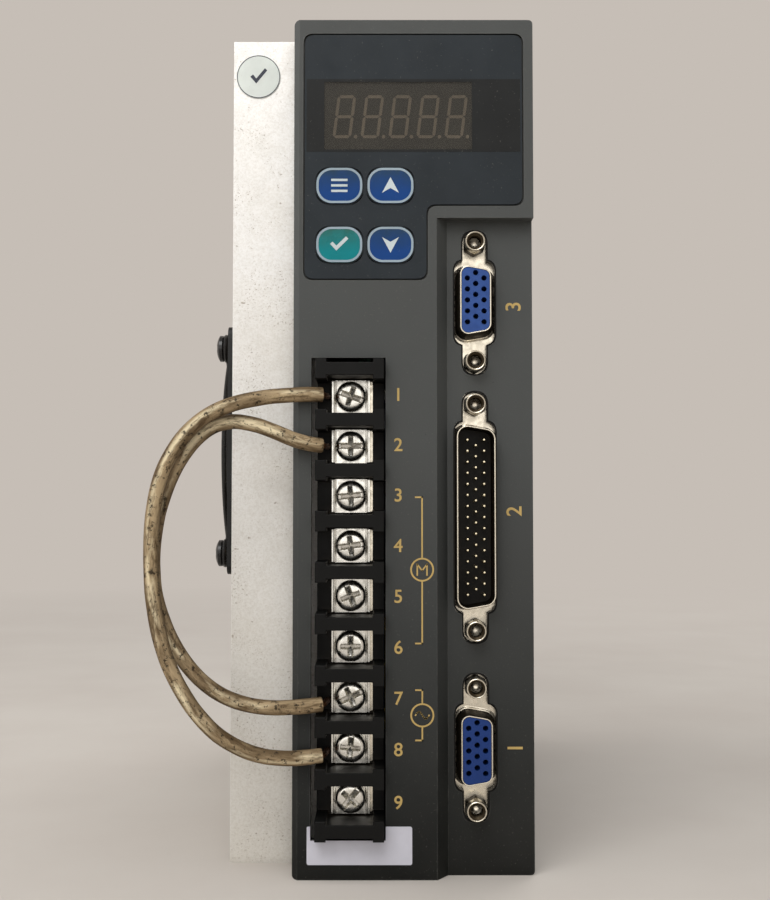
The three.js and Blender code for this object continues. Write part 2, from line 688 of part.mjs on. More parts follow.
function connectorShell(type) {
  const reach = type.jackSpacing / 2 + FLANGE_END;
  const plate = rectangle([-FLANGE_WIDTH / 2, FLANGE_WIDTH / 2], [-reach, reach], 1);
  const flange = slabY(plate, [FLANGE_FRONT, FLANGE_FRONT + FLANGE_THICKNESS]);
  const sleeve = slabY(shellOutline(type, 0), [FLANGE_FRONT - SHELL_PROUD, FLANGE_FRONT + FLANGE_THICKNESS]);
  const inside = slabY(shellOutline(type, -SHELL_WALL), [FLANGE_FRONT - SHELL_PROUD - 1, FLANGE_FRONT + 2]);
  const holes = [-1, 1].map((side) => {
    const place = [0, side * type.jackSpacing / 2];
    return rod('y', place, JACK_STUD_RADIUS + CLEARANCE, [FLANGE_FRONT - 1, FLANGE_FRONT + 2], 16);
  });
  return cut(joined([flange, sleeve]), [inside, ...holes]);
}

// Middle of each contact as (x, z): three staggered columns.
function contactPlaces(type) {
  return type.rows.flatMap((count, row) => {
    const stagger = row === 1 && count === type.rows[0] ? PIN_PITCH / 2 : 0;
    return Array.from({ length: count }, (_, i) => {
      return [(row - 1) * PIN_ROW, (i - (count - 1) / 2) * PIN_PITCH + stagger];
    });
  });
}

function insulator(type, face) {
  const back = FLANGE_FRONT + FLANGE_THICKNESS + CLEARANCE;
  const nose = slabY(shellOutline(type, -SHELL_WALL - CLEARANCE), [face, back + 1]);
  const half = type.long / 2 + 1;
  const right = CONTROL_LEFT - CLEARANCE - CONNECTOR_X;
  const body = box([-FLANGE_WIDTH / 2, right], [back, back + CONNECTOR_BODY_DEPTH], [-half, half]);
  return joined([nose, body]);
}

function socketInsulator(type) {
  const face = FLANGE_FRONT - SHELL_PROUD + CLEARANCE;
  const holes = contactPlaces(type).map((place) => rod('y', place, 0.5, [face - 1, face + 5], 6));
  return cut(insulator(type, face), holes);
}

function plugInsulator(type) {
  const face = FLANGE_FRONT - 0.5;
  const pins = contactPlaces(type).map((place) => {
    return rod('y', place, 0.38, [FLANGE_FRONT - SHELL_PROUD + 0.9, face + 0.5], 6);
  });
  return joined([insulator(type, face), ...pins]);
}

// Hexagonal screw lock with a threaded bore to the front and its stud through the flange.
function jackScrew() {
  const seat = FLANGE_FRONT - CLEARANCE;
  const hex = rod('y', [0, 0], JACK_FLATS / Math.sqrt(3), [seat - JACK_HEIGHT, seat], 6);
  const stud = rod('y', [0, 0], JACK_STUD_RADIUS, [seat - 1, seat + JACK_STUD_LENGTH], 12);
  const bore = rod('y', [0, 0], JACK_STUD_RADIUS, [seat - JACK_HEIGHT - 1, seat - 1.2], 12);
  return cut(joined([hex, stud]), [bore]);
}

const CONNECTORS = [
  { name: 'cn1', type: SMALL_CONNECTOR, z: CN1_Z, contacts: socketInsulator, color: 0x2350a0 },
  { name: 'cn2', type: LARGE_CONNECTOR, z: CN2_Z, contacts: plugInsulator, color: 0x1a1a18 },
  { name: 'cn3', type: SMALL_CONNECTOR, z: CN3_Z, contacts: socketInsulator, color: 0x2350a0 },
];
for (const { name, type, z, contacts, color } of CONNECTORS) {
  addPiece(`${name}_shell`, connectorShell(type), NICKEL, [CONNECTOR_X, 0, z]);
  addPiece(`${name}_insulator`, contacts(type), [color, 0.5, 0], [CONNECTOR_X, 0, z]);
  const reach = type.jackSpacing / 2;
  addPiece(`${name}_jackscrew_upper`, jackScrew(), NICKEL, [CONNECTOR_X, 0, z + reach]);
  addPiece(`${name}_jackscrew_lower`, jackScrew(), NICKEL, [CONNECTOR_X, 0, z - reach]);
}

// ---------- boards, power module and large components ----------
const controlBoard = box(
  [CONTROL_LEFT, CONTROL_RIGHT],
  [FLANGE_FRONT + FLANGE_THICKNESS + 1, ROOM_BACK - 19.5],
  [CN1_Z - 17, RECESS_TOP],
);
addPiece('control_board', controlBoard, GREEN_BOARD);

const powerBoard = box(
  [POWER_LEFT, POWER_RIGHT],
  [SINK_FRONT + 1, -REAR_PLATE - 6],
  [BOTTOM + NOTCH_HEIGHT + WALL + 1, BOTTOM + 136],
);
addPiece('power_board', powerBoard, GREEN_BOARD);

const powerModule = box(
  [SINK_FACE + CLEARANCE, POWER_LEFT - CLEARANCE],
  [SINK_FRONT + 32, SINK_FRONT + 82],
  [BOTTOM + 58, BOTTOM + 118],
);
addPiece('power_module', powerModule, BLACK_PLASTIC);

const onPowerBoard = POWER_RIGHT + CLEARANCE;
const capacitor = rod('x', [0, 0], CAPACITOR_RADIUS, [onPowerBoard, onPowerBoard + CAPACITOR_HEIGHT], 28);
for (let i = 0; i < CAPACITOR_COUNT; i += 1) {
  const place = [0, -REAR_PLATE - 28, BOTTOM + 67 + i * CAPACITOR_PITCH];
  addPiece(`capacitor_${i + 1}`, capacitor, [0x1c2a3c, 0.4, 0], place);
}

const transformer = box(
  [onPowerBoard, onPowerBoard + 22],
  [SINK_FRONT + 49, SINK_FRONT + 77],
  [BOTTOM + 19, BOTTOM + 45],
);
addPiece('transformer', transformer, [0xc9a53a, 0.6, 0]);

// ---------- fan, built about the middle of its own axis ----------
const fanPlace = [0, FAN_Y, FAN_Z];
const fanCorners = [[1, 1], [1, -1], [-1, -1], [-1, 1]].map((signs) => {
  return signs.map((sign) => sign * FAN_HOLE_SPACING / 2);
});

function fanFrame() {
  const half = FAN_SIZE / 2;
  const depth = [FAN_FRONT, FAN_BACK];
  const through = [FAN_FRONT - 1, FAN_BACK + 1];
  const block = slabX(rectangle([-half, half], [-half, half], FAN_CORNER), depth);
  const bore = rod('x', [0, 0], BORE_RADIUS, through, 48);
  const holes = fanCorners.map((place) => rod('x', place, FAN_SCREW_RADIUS + CLEARANCE, through, 16));
  const strutX = [FAN_BACK - STRUT_DEPTH, FAN_BACK];
  const struts = [0, 1, 2, 3].map((i) => {
    return box(strutX, [HUB_RADIUS - 2, BORE_RADIUS + 1], [-1.6, 1.6]).rotate([45 + 90 * i, 0, 0]);
  });
  const seat = rod('x', [0, 0], HUB_RADIUS, strutX, 32);
  const bearing = rod('x', [0, 0], AXLE_RADIUS + CLEARANCE, through, 16);
  return cut(joined([cut(block, [bore]), ...struts, seat]), [...holes, bearing]);
}

function fanRotor() {
  const hubX = [FAN_FRONT + 0.8, FAN_FRONT + 0.8 + HUB_DEPTH];
  const hub = rod('x', [0, 0], HUB_RADIUS, hubX, 32);
  const axle = rod('x', [0, 0], AXLE_RADIUS, [hubX[1] - 1, FAN_BACK], 12);
  const tip = BORE_RADIUS - TIP_GAP;
  const middle = FAN_FRONT + 1.2 + (BLADE_CHORD * Math.sin(BLADE_PITCH) + BLADE_THICKNESS) / 2;
  const span = tip - HUB_RADIUS + 2;
  const geometry = new THREE.BoxGeometry(BLADE_THICKNESS, BLADE_CHORD, span);
  geometry.rotateZ(-BLADE_PITCH).translate(middle, 0, HUB_RADIUS - 2 + span / 2);
  const blade = solid(geometry);
  const blades = Array.from({ length: BLADE_COUNT }, (_, i) => blade.rotate([i * 360 / BLADE_COUNT, 0, 0]));
  const sweep = rod('x', [0, 0], tip, [FAN_FRONT, FAN_BACK], 48);
  return joined([hub, axle, ...blades.map((one) => one.intersect(sweep))]);
}

function guardRing(radius, [y, z], segments) {
  const ring = new THREE.TorusGeometry(radius, GUARD_WIRE, 5, segments);
  return solid(ring.rotateY(Math.PI / 2).translate(GUARD_X, y, z));
}

function fanGuard() {
  const rings = GUARD_RINGS.map((radius) => guardRing(radius, [0, 0], 22));
  const loops = fanCorners.map((place) => guardRing(GUARD_LOOP, place, 10));
  const reach = FAN_HOLE_SPACING / Math.SQRT2 - GUARD_LOOP;
  const arm = rod('y', [GUARD_X, 0], GUARD_WIRE * 0.9, [GUARD_RINGS[0], reach], 6);
  const arms = [0, 1, 2, 3].map((i) => arm.translate([-GUARD_X, 0, 0]).rotate([45 + 90 * i, 0, 0]));
  return joined([...rings, ...loops, ...arms.map((one) => one.translate([GUARD_X, 0, 0]))]);
}

// Pan-head screw along X, its head outside the guard.
function fanScrew() {
  const seat = GUARD_X - GUARD_WIRE - 0.1;
  const head = rod('x', [0, 0], 3.2, [seat - 1.6, seat], 16);
  const shank = rod('x', [0, 0], FAN_SCREW_RADIUS, [seat - 0.5, FAN_BACK - 1], 12);
  const slot = box([seat - 2, seat - 0.9], [-2, 2], [-0.4, 0.4]);
  const cross = box([seat - 2, seat - 0.9], [-0.4, 0.4], [-2, 2]);
  return cut(joined([head, shank]), [slot, cross]);
}

addPiece('fan_frame', fanFrame(), BLACK_PLASTIC, fanPlace);
addPiece('fan_rotor', fanRotor(), BLACK_PLASTIC, fanPlace);
addPiece('fan_guard', fanGuard(), [0x2a2a2a, 0.4, 0.6], fanPlace);
fanCorners.forEach(([y, z], i) => {
  addPiece(`fan_screw_${i + 1}`, fanScrew(), NICKEL, [0, FAN_Y + y, FAN_Z + z]);
});

// ---------- label and sticker ----------
const label = slabY(
  rectangle([LEFT + 3.1, LEFT + 24.6], [BOTTOM + 3.1, BOTTOM + 10.8], 0.4),
  [FRONT - 0.3, FRONT - 0.05],
);
const labelCut = blockSlot().translate([0, -1, 0]);
addPiece('terminal_label', cut(label, [labelCut]), [0xc8c6d0, 0.6, 0]);

const sticker = rod('y', [LEFT - 8.7, TOP - 7.8], 4.8, [SINK_FRONT - 0.3, SINK_FRONT - 0.05], 32);
addPiece('fin_sticker', sticker, [0xe6e4dc, 0.6, 0]);

// ---------- jumper wires ----------

// A straight round rod between two points.
function strand(from, to, radius) {
  const start = new THREE.Vector3(...from);
  const along = new THREE.Vector3(...to).sub(start);
  const geometry = new THREE.CylinderGeometry(radius, radius, along.length(), 6);
  const up = new THREE.Vector3(0, 1, 0);
  const turn = new THREE.Quaternion().setFromUnitVectors(up, along.clone().normalize());
  const middle = start.addScaledVector(along, 0.5);
  return solid(geometry.applyQuaternion(turn).translate(middle.x, middle.y, middle.z));
}

// Insulated wire with a bare end down beside the washer at each terminal.
function jumper(route) {
  const path = new THREE.CatmullRomCurve3(route.map((point) => new THREE.Vector3(...point)));
  const section = polygon(Array.from({ length: WIRE_SIDES }, (_, i) => {
    const angle = i * 2 * Math.PI / WIRE_SIDES;
    return [WIRE_RADIUS * Math.cos(angle), WIRE_RADIUS * Math.sin(angle)];
  }));
  const sleeve = solid(new THREE.ExtrudeGeometry(section, { steps: WIRE_STEPS, extrudePath: path }));
  const ends = [[route[0], route[1]], [route.at(-1), route.at(-2)]].map(([end, next]) => {
    const inner = end.map((value, i) => value + 0.5 * (next[i] - value));
    return joined([strand(inner, end, BARE_RADIUS), strand(end, [...BARE_END, end[2]], BARE_RADIUS)]);
  });
  return joined([sleeve, ...ends]);
}

addPiece('jumper_outer', jumper(OUTER_ROUTE), [0x776749, 0.8, 0]);
addPiece('jumper_inner', jumper(INNER_ROUTE), [0x776749, 0.8, 0]);

export default drive;
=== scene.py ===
"""Looks of the servo drive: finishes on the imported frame, and the finer pieces that stand for CAD nodes.

Lengths are written in millimetres in the row frame and turned into metres where a mesh is made.
"""
import math

import bmesh
import bpy
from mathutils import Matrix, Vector, noise
from mathutils.geometry import tessellate_polygon


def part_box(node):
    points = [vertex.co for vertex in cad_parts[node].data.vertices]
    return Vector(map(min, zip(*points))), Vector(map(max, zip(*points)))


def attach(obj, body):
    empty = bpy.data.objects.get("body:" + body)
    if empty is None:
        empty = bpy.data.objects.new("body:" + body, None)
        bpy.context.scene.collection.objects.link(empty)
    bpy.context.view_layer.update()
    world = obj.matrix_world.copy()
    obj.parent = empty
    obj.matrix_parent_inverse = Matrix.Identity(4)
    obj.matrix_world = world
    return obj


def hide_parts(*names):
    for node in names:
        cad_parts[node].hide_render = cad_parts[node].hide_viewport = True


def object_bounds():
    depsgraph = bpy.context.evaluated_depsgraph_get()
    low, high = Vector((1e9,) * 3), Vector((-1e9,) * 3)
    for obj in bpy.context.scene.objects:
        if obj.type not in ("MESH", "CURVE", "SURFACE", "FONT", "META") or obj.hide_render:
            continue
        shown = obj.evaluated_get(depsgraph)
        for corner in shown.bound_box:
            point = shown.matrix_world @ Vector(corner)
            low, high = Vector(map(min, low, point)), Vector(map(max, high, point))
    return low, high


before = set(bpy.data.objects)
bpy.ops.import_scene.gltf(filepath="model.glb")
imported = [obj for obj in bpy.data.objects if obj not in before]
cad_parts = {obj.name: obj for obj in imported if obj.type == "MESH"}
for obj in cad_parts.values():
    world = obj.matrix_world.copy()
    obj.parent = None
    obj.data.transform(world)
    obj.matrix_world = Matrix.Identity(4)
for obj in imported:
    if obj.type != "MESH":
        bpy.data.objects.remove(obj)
cad_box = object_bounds()

MM = 0.001
BODY = "drive"


def new_mesh(name, bm):
    mesh = bpy.data.meshes.new(name)
    bm.to_mesh(mesh)
    bm.free()
    return mesh


def new_object(name, data):
    thing = bpy.data.objects.new(name, data)
    bpy.context.scene.collection.objects.link(thing)
    return thing


# ---------- camera ----------

def make_camera():
    """A 770 x 900 view from 250 mm in front of the cover, a little low and tilted up."""
    data = bpy.data.cameras.new("camera")
    data.lens = 48.4
    data.sensor_width = 36
    data.clip_start = 0.01
    camera = new_object("camera", data)
    target = Vector((-5.94, -145, -1.35)) * MM
    camera.location = Vector((-5.94, -394.8, -12.25)) * MM
    camera.rotation_euler = (target - camera.location).to_track_quat("-Z", "Y").to_euler()
    bpy.context.scene.camera = camera


make_camera()


# ---------- outlines in (x, z) ----------

def rounded(points, radius, steps=6):
    """A polygon with its corners turned into arcs; radius is one number or one for each corner."""
    count = len(points)
    radii = [radius] * count if isinstance(radius, (int, float)) else radius
    out = []
    for i, point in enumerate(points):
        corner = Vector(point)
        if radii[i] <= 0:
            out.append((corner.x, corner.y))
            continue
        back = (Vector(points[i - 1]) - corner).normalized()
        ahead = (Vector(points[(i + 1) % count]) - corner).normalized()
        half = back.angle(ahead) / 2
        centre = corner + (back + ahead).normalized() * (radii[i] / math.sin(half))
        start = corner + back * (radii[i] / math.tan(half)) - centre
        end = corner + ahead * (radii[i] / math.tan(half)) - centre
        turn = start.angle_signed(end)
        for k in range(steps + 1):
            angle = -turn * k / steps
            c, s = math.cos(angle), math.sin(angle)
            out.append((centre.x + start.x * c - start.y * s, centre.y + start.x * s + start.y * c))
    return out


def rectangle(x0, x1, z0, z1, radius=0, steps=6):
    return rounded([(x0, z0), (x1, z0), (x1, z1), (x0, z1)], radius, steps)


def circle(x, z, radius, sides=32):
    turn = 2 * math.pi / sides
    return [(x + radius * math.cos(i * turn), z + radius * math.sin(i * turn)) for i in range(sides)]


def moved(outline, x=0, z=0):
    return [(px + x, pz + z) for px, pz in outline]


# ---------- solids in bmesh, millimetres ----------

def add_loop(bm, outline, y):
    return [bm.verts.new((x, y, z)) for x, z in outline]


def add_slab(bm, outer, y0, y1, holes=()):
    """A plate between y0 and y1 with straight walls, drawn in (x, z), with holes through it."""
    loops = [outer, *holes]
    rows = [[add_loop(bm, loop, y) for loop in loops] for y in (y0, y1)]
    for row in rows:
        if holes:
            flat = [v for loop in row for v in loop]
            for a, b, c in tessellate_polygon([[Vector((x, z, 0)) for x, z in loop] for loop in loops]):
                bm.faces.new((flat[a], flat[b], flat[c]))
        else:
            bm.faces.new(row[0])
    for near, far in zip(rows[0], rows[1]):
        for i in range(len(near)):
            j = (i + 1) % len(near)
            bm.faces.new((near[i], near[j], far[j], far[i]))


def add_row(bm, place, radius, level, sides, axis="y", flats=0):
    """A ring of vertices square to an axis, one vertex at radius 0.

    The level is a number or a function of the two coordinates across the axis; flats is half the
    width over the flats of a hexagon that the ring keeps inside.
    """
    x0, y0, z0 = place
    row = []
    for i in range(sides if radius else 1):
        angle = 2 * math.pi * i / sides
        r = radius
        if flats:
            r = min(radius, flats / math.cos((angle + math.pi / 6) % (math.pi / 3) - math.pi / 6))
        a, b = r * math.cos(angle), r * math.sin(angle)
        height = level(a, b) if callable(level) else level
        at = (a, height, b) if axis == "y" else (height, a, b)
        row.append(bm.verts.new((x0 + at[0], y0 + at[1], z0 + at[2])))
    return row


def add_turned(bm, profile, place, axis="y", sides=32):
    """A closed body of revolution; profile is (radius, level) points that start and end on the axis."""
    join_rings(bm, [add_row(bm, place, radius, level, sides, axis) for radius, level in profile])


def wall(distance, half, width):
    """1 inside a groove, 0 outside it, sloping over the width of its wall."""
    return min(max((half - abs(distance)) / width, 0), 1)


def add_head(bm, place, radius, crown, recess, shank, sides, count, axis="y"):
    """A screw head as a polar height field: a crown with a recess in it, then the shank's profile."""
    rings = [add_row(bm, place, 0, recess, sides, axis)]
    for k in range(1, count + 1):
        level = crown(k / count)
        rings.append(add_row(bm, place, radius * k / count, lambda a, b: level + recess(a, b), sides, axis))
    rings += [add_row(bm, place, r, level, sides, axis) for r, level in shank]
    join_rings(bm, rings)


def join_rings(bm, rings, closed=False):
    """Faces between neighbouring rings; a ring of one vertex is a pole."""
    pairs = list(zip(rings, rings[1:]))
    if closed:
        pairs.append((rings[-1], rings[0]))
    for near, far in pairs:
        count = max(len(near), len(far))
        if count == 1:
            continue
        for i in range(count):
            j = (i + 1) % count
            corners = [near[i % len(near)], near[j % len(near)], far[j % len(far)], far[i % len(far)]]
            kept = [v for k, v in enumerate(corners) if v is not corners[k - 1]]
            bm.faces.new(kept)


def add_ring(bm, place, radius, wire, sides=48, section=10):
    """A round wire ring about the X axis."""
    x0, y0, z0 = place
    rings = []
    for i in range(sides):
        a = 2 * math.pi * i / sides
        ring = []
        for k in range(section):
            b = 2 * math.pi * k / section
            r = radius + wire * math.cos(b)
            ring.append(bm.verts.new((x0 + wire * math.sin(b), y0 + r * math.cos(a), z0 + r * math.sin(a))))
        rings.append(ring)
    join_rings(bm, rings, closed=True)


def heading(path, i):
    """Direction of a path at one of its points."""
    return (path[min(i + 1, len(path) - 1)] - path[max(i - 1, 0)]).normalized()


def add_tube(bm, points, radius, sides=10, wobble=None):
    """A round tube along points with flat ends; wobble(i, k) scales the radius at each vertex."""
    path = [Vector(p) for p in points]
    side = heading(path, 0).orthogonal().normalized()
    rings = []
    for i, point in enumerate(path):
        tangent = heading(path, i)
        if i:
            side = (side - tangent * side.dot(tangent)).normalized()
        other = tangent.cross(side)
        ring = []
        for k in range(sides):
            a = 2 * math.pi * k / sides
            r = radius * (wobble(i, k) if wobble else 1)
            ring.append(bm.verts.new(point + (side * math.cos(a) + other * math.sin(a)) * r))
        rings.append(ring)
    join_rings(bm, rings)
    bm.faces.new(rings[0])
    bm.faces.new(rings[-1])


def piece(name, bm, look, body=BODY, replaces=(), bevel=0.0, smooth=35, second=""):
    """Turns a bmesh in millimetres into a named piece on a body.

    The slot is the look's own name; second is the look of the faces whose material index is 1.
    """
    bmesh.ops.scale(bm, vec=(MM, MM, MM), verts=bm.verts)
    bmesh.ops.recalc_face_normals(bm, faces=bm.faces)
    mesh = new_mesh(name, bm)
    thing = new_object(name, mesh)
    mesh.materials.append(FINISH[look])
    if second:
        mesh.materials.append(FINISH[second])
    mesh.shade_smooth()
    mesh.set_sharp_from_angle(angle=math.radians(smooth))
    if bevel:
        add_bevel(thing, bevel)
    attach(thing, body)
    if replaces:
        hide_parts(*replaces)
    return thing


def add_bevel(thing, width, segments=2):
    bevel = thing.modifiers.new("edges", "BEVEL")
    bevel.width = width * MM
    bevel.segments = segments
    bevel.limit_method = "ANGLE"
    bevel.angle_limit = math.radians(32)
    bevel.use_clamp_overlap = True
    bevel.harden_normals = True


def low_high(node):
    """A node's box at rest, in millimetres."""
    low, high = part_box(node)
    return low / MM, high / MM


def middle(node):
    low, high = low_high(node)
    return (low + high) / 2


# ---------- finishes ----------

def rgb(red, green, blue):
    """Linear colour from 0-255 display values."""
    def linear(value):
        value /= 255
        return value / 12.92 if value <= 0.04045 else ((value + 0.055) / 1.055) ** 2.4
    return (linear(red), linear(green), linear(blue), 1)


def put(tree, source, socket):
    """Links an output to a socket, or sets the socket to a plain value."""
    if isinstance(source, bpy.types.NodeSocket):
        tree.links.new(source, socket)
    else:
        socket.default_value = source


def add_node(tree, kind, links=None, **values):
    node = tree.nodes.new(kind)
    for key, value in values.items():
        setattr(node, key, value)
    for socket, source in (links or {}).items():
        put(tree, source, node.inputs[socket])
    return node


class Finish:
    """A procedural material: small helpers that add a node or two and return the output."""

    def __init__(self, name, roughness=0.5, metallic=0.0, specular=0.5):
        self.material = bpy.data.materials.new(name)
        self.material.use_nodes = True
        self.tree = self.material.node_tree
        self.shader = self.tree.nodes["Principled BSDF"]
        self.shader.inputs["Metallic"].default_value = metallic
        self.shader.inputs["Roughness"].default_value = roughness
        self.shader.inputs["Specular IOR Level"].default_value = specular
        self.place = self.tree.nodes.new("ShaderNodeTexCoord").outputs["Object"]
        self.base = None

    def add(self, kind, links=None, **values):
        return add_node(self.tree, kind, links, **values)

    def noise(self, size, detail=3.0, roughness=0.55):
        """Noise with features of about that size in millimetres, 0 to 1."""
        links = {"Vector": self.place, "Scale": 1 / (size * MM), "Detail": detail, "Roughness": roughness}
        return self.add("ShaderNodeTexNoise", links).outputs["Fac"]

    def cells(self, size):
        links = {"Vector": self.place, "Scale": 1 / (size * MM)}
        return self.add("ShaderNodeTexVoronoi", links).outputs["Distance"]

    def between(self, value, low, high, to_low=0.0, to_high=1.0):
        links = {"Value": value, "From Min": low, "From Max": high, "To Min": to_low, "To Max": to_high}
        return self.add("ShaderNodeMapRange", links).outputs["Result"]

    def mask(self, size, detail, low, high, to_low=0.0, to_high=1.0, roughness=0.55):
        """Noise cut between two levels."""
        return self.between(self.noise(size, detail, roughness), low, high, to_low, to_high)

    def times(self, a, b):
        return self.add("ShaderNodeMath", {0: a, 1: b}, operation="MULTIPLY").outputs[0]

    def tones(self, amount, a, b):
        """The base colour: a where the amount is 0, b where it is 1."""
        links = {"Factor": amount, 6: a, 7: b}
        self.base = self.add("ShaderNodeMix", links, data_type="RGBA").outputs[2]

    def layer(self, mask, amount, colour):
        """A colour laid over the base where the mask is."""
        self.tones(self.times(mask, amount), self.base, colour)

    def height(self, low, high):
        """0 at a height in millimetres, 1 at another."""
        z = self.add("ShaderNodeSeparateXYZ", {0: self.place}).outputs["Z"]
        return self.between(z, low * MM, high * MM)

    def edges(self, radius):
        """1 on edges and corners, 0 on flat faces."""
        soft = self.add("ShaderNodeBevel", {"Radius": radius * MM}, samples=4).outputs["Normal"]
        true = self.add("ShaderNodeNewGeometry").outputs["Normal"]
        dot = self.add("ShaderNodeVectorMath", {0: soft, 1: true}, operation="DOT_PRODUCT").outputs["Value"]
        return self.between(dot, 0.995, 0.85)

    def corners(self, reach):
        """1 deep in corners and gaps, 0 in the open; the layers that use it paint shade there."""
        node = self.add("ShaderNodeAmbientOcclusion", {"Distance": reach * MM}, samples=6)
        return self.between(node.outputs["AO"], 0.75, 0.2)

    def gloss(self, source):
        put(self.tree, source, self.shader.inputs["Roughness"])

    def done(self, height, strength, depth):
        """Sets the base colour and a bump, whose height is 0 to 1 and its depth in millimetres."""
        put(self.tree, self.base, self.shader.inputs["Base Color"])
        bump = self.add("ShaderNodeBump", {"Height": height, "Strength": strength, "Distance": depth * MM})
        self.tree.links.new(bump.outputs["Normal"], self.shader.inputs["Normal"])
        return self.material


def scaled(colour, factor):
    return (colour[0] * factor, colour[1] * factor, colour[2] * factor, 1)


def moulded(name, colour, roughness=0.5, grain=0.35, depth=0.03, dust=0.25, wear=0.35, specular=0.5):
    """Moulded plastic with a fine grain, soft blotches, dust with painted shade in its corners and rubbed
    edges.
    """
    finish = Finish(name, roughness, 0, specular)
    finish.tones(finish.mask(14, 4, 0.3, 0.7), scaled(colour, 0.86), scaled(colour, 1.14))
    finish.layer(finish.mask(0.5, 2, 0.68, 0.78), 0.25, scaled(colour, 1.9))
    finish.layer(finish.edges(0.35), finish.mask(3, 4, 0.45, 0.7, 0, wear), scaled(colour, 2.4))
    # brown in corners and gaps from an occlusion mask: dust and painted shade, as much as the dust amount
    dirt_and_shade = finish.times(finish.corners(2.5), finish.mask(2.5, 4, 0.3, 0.7, 0.3, 1))
    finish.layer(dirt_and_shade, dust, rgb(98, 84, 64))
    finish.gloss(finish.mask(6, 4, 0.3, 0.7, roughness - 0.07, roughness + 0.1))
    return finish.done(finish.noise(grain, 2), 0.5, depth)


def cast_aluminium():
    """Pale matte casting, greyer towards its foot as painted shade, with fine warm specks, brown spots,
    bright edges, and soiling with painted shade in its corners.
    """
    finish = Finish("cast_aluminium", 0.55, 0.3, 0.3)
    # paler at the top and greyer at the foot: painted shade of light from above
    finish.tones(finish.height(-89, 80), rgb(226, 223, 216), rgb(242, 241, 239))
    finish.layer(finish.mask(16, 4, 0.35, 0.7), 0.22, rgb(206, 198, 182))
    finish.layer(finish.mask(0.5, 5, 0.42, 0.7, roughness=0.75), 0.3, rgb(170, 158, 136))
    specks = finish.times(finish.mask(0.42, 3, 0.59, 0.67, roughness=0.7), finish.mask(9, 3, 0.45, 0.62))
    finish.layer(specks, 0.7, rgb(124, 102, 72))
    finish.layer(finish.mask(1.5, 2, 0.72, 0.76), 0.5, rgb(120, 92, 56))
    finish.layer(finish.edges(0.3), finish.mask(4, 3, 0.4, 0.6, 0.2, 0.7), rgb(248, 248, 246))
    # brownish in corners and gaps from an occlusion mask: soiling and painted shade
    finish.layer(finish.corners(3.5), finish.mask(4, 4, 0.35, 0.7, 0.2, 0.6), rgb(112, 98, 78))
    finish.gloss(finish.mask(3, 4, 0.3, 0.7, 0.42, 0.62))
    return finish.done(finish.noise(0.5, 3), 0.5, 0.06)


def housing():
    """The case's dark grey plastic, grimy, darker in its lower half as painted shade, and darker still in its
    corners from soiling and painted shade.
    """
    finish = Finish("housing", 0.52, 0, 0.15)
    # near black at the foot to grey at mid height: painted shade of light from above
    finish.tones(finish.height(-89, 0), rgb(14, 15, 13), rgb(75, 77, 76))
    finish.layer(finish.mask(22, 4, 0.3, 0.7), 0.12, rgb(80, 79, 75))
    finish.layer(finish.mask(0.45, 2, 0.66, 0.76), 0.22, rgb(122, 119, 110))
    finish.layer(finish.mask(1.6, 3, 0.73, 0.78, roughness=0.7), 0.5, rgb(24, 22, 19))
    finish.layer(finish.edges(0.4), finish.mask(3, 4, 0.4, 0.7, 0.05, 0.35), rgb(128, 127, 122))
    # near black in corners and gaps from an occlusion mask: soiling and painted shade
    finish.layer(finish.corners(3), finish.mask(3, 4, 0.3, 0.7, 0.3, 0.7), rgb(20, 18, 14))
    finish.gloss(finish.mask(7, 4, 0.3, 0.7, 0.42, 0.58))
    return finish.done(finish.noise(0.32, 2), 0.5, 0.035)


def film(name, colour, roughness=0.42, dust=0.2, specular=0.12, shade=None):
    """Printed film: nearly flat, with faint smears, dust, and soiling with painted shade in its corners.
    `shade` is (low z, high z, colour there).
    """
    finish = Finish(name, roughness, 0, specular)
    finish.tones(finish.mask(9, 4, 0.35, 0.7), scaled(colour, 0.93), scaled(colour, 1.1))
    if shade:
        low, high, top = shade
        finish.layer(finish.height(low, high), finish.mask(1.8, 3, 0.3, 0.65, 0.55, 1), top)
    finish.layer(finish.mask(0.4, 2, 0.69, 0.76), dust, rgb(150, 146, 136))
    # dark in corners and round raised edges from an occlusion mask: soiling and painted shade
    finish.layer(finish.corners(0.5), 0.3, rgb(26, 24, 22))
    finish.gloss(finish.mask(5, 4, 0.35, 0.7, roughness - 0.08, roughness + 0.14))
    return finish.done(finish.noise(0.7, 2), 0.25, 0.012)


def metal(name, colour, roughness, tarnish, grime_and_shade, scratch, reach):
    """Plated steel with a worn, slightly dull face, and brown soiling with painted shade in its corners."""
    finish = Finish(name, roughness, 1.0)
    finish.tones(finish.times(finish.mask(1.6, 4, 0.35, 0.7), scratch), colour, scaled(colour, 0.62))
    finish.layer(finish.mask(0.9, 4, 0.6, 0.74, roughness=0.7), 0.35, rgb(*tarnish))
    # brown in corners and hollows from an occlusion mask: soiling and painted shade
    dirt_and_shade = finish.times(finish.corners(reach), finish.mask(0.8, 3, 0.3, 0.7, 0.3, 1))
    finish.layer(dirt_and_shade, grime_and_shade, rgb(46, 34, 22))
    finish.gloss(finish.mask(1.1, 4, 0.3, 0.75, roughness - 0.1, roughness + 0.22))
    return finish.done(finish.noise(0.25, 3), 0.35, 0.015)


def smoked_window():
    """Smoky matte film that lets the display show through faintly."""
    finish = Finish("window_tint", 0.4, 0, 0.12)
    finish.tones(finish.mask(6, 4, 0.35, 0.7), rgb(64, 61, 56), rgb(73, 70, 64))
    finish.gloss(finish.mask(4, 4, 0.3, 0.7, 0.34, 0.48))
    finish.shader.inputs["Alpha"].default_value = 0.38
    return finish.done(finish.noise(1.5, 2), 0.15, 0.01)


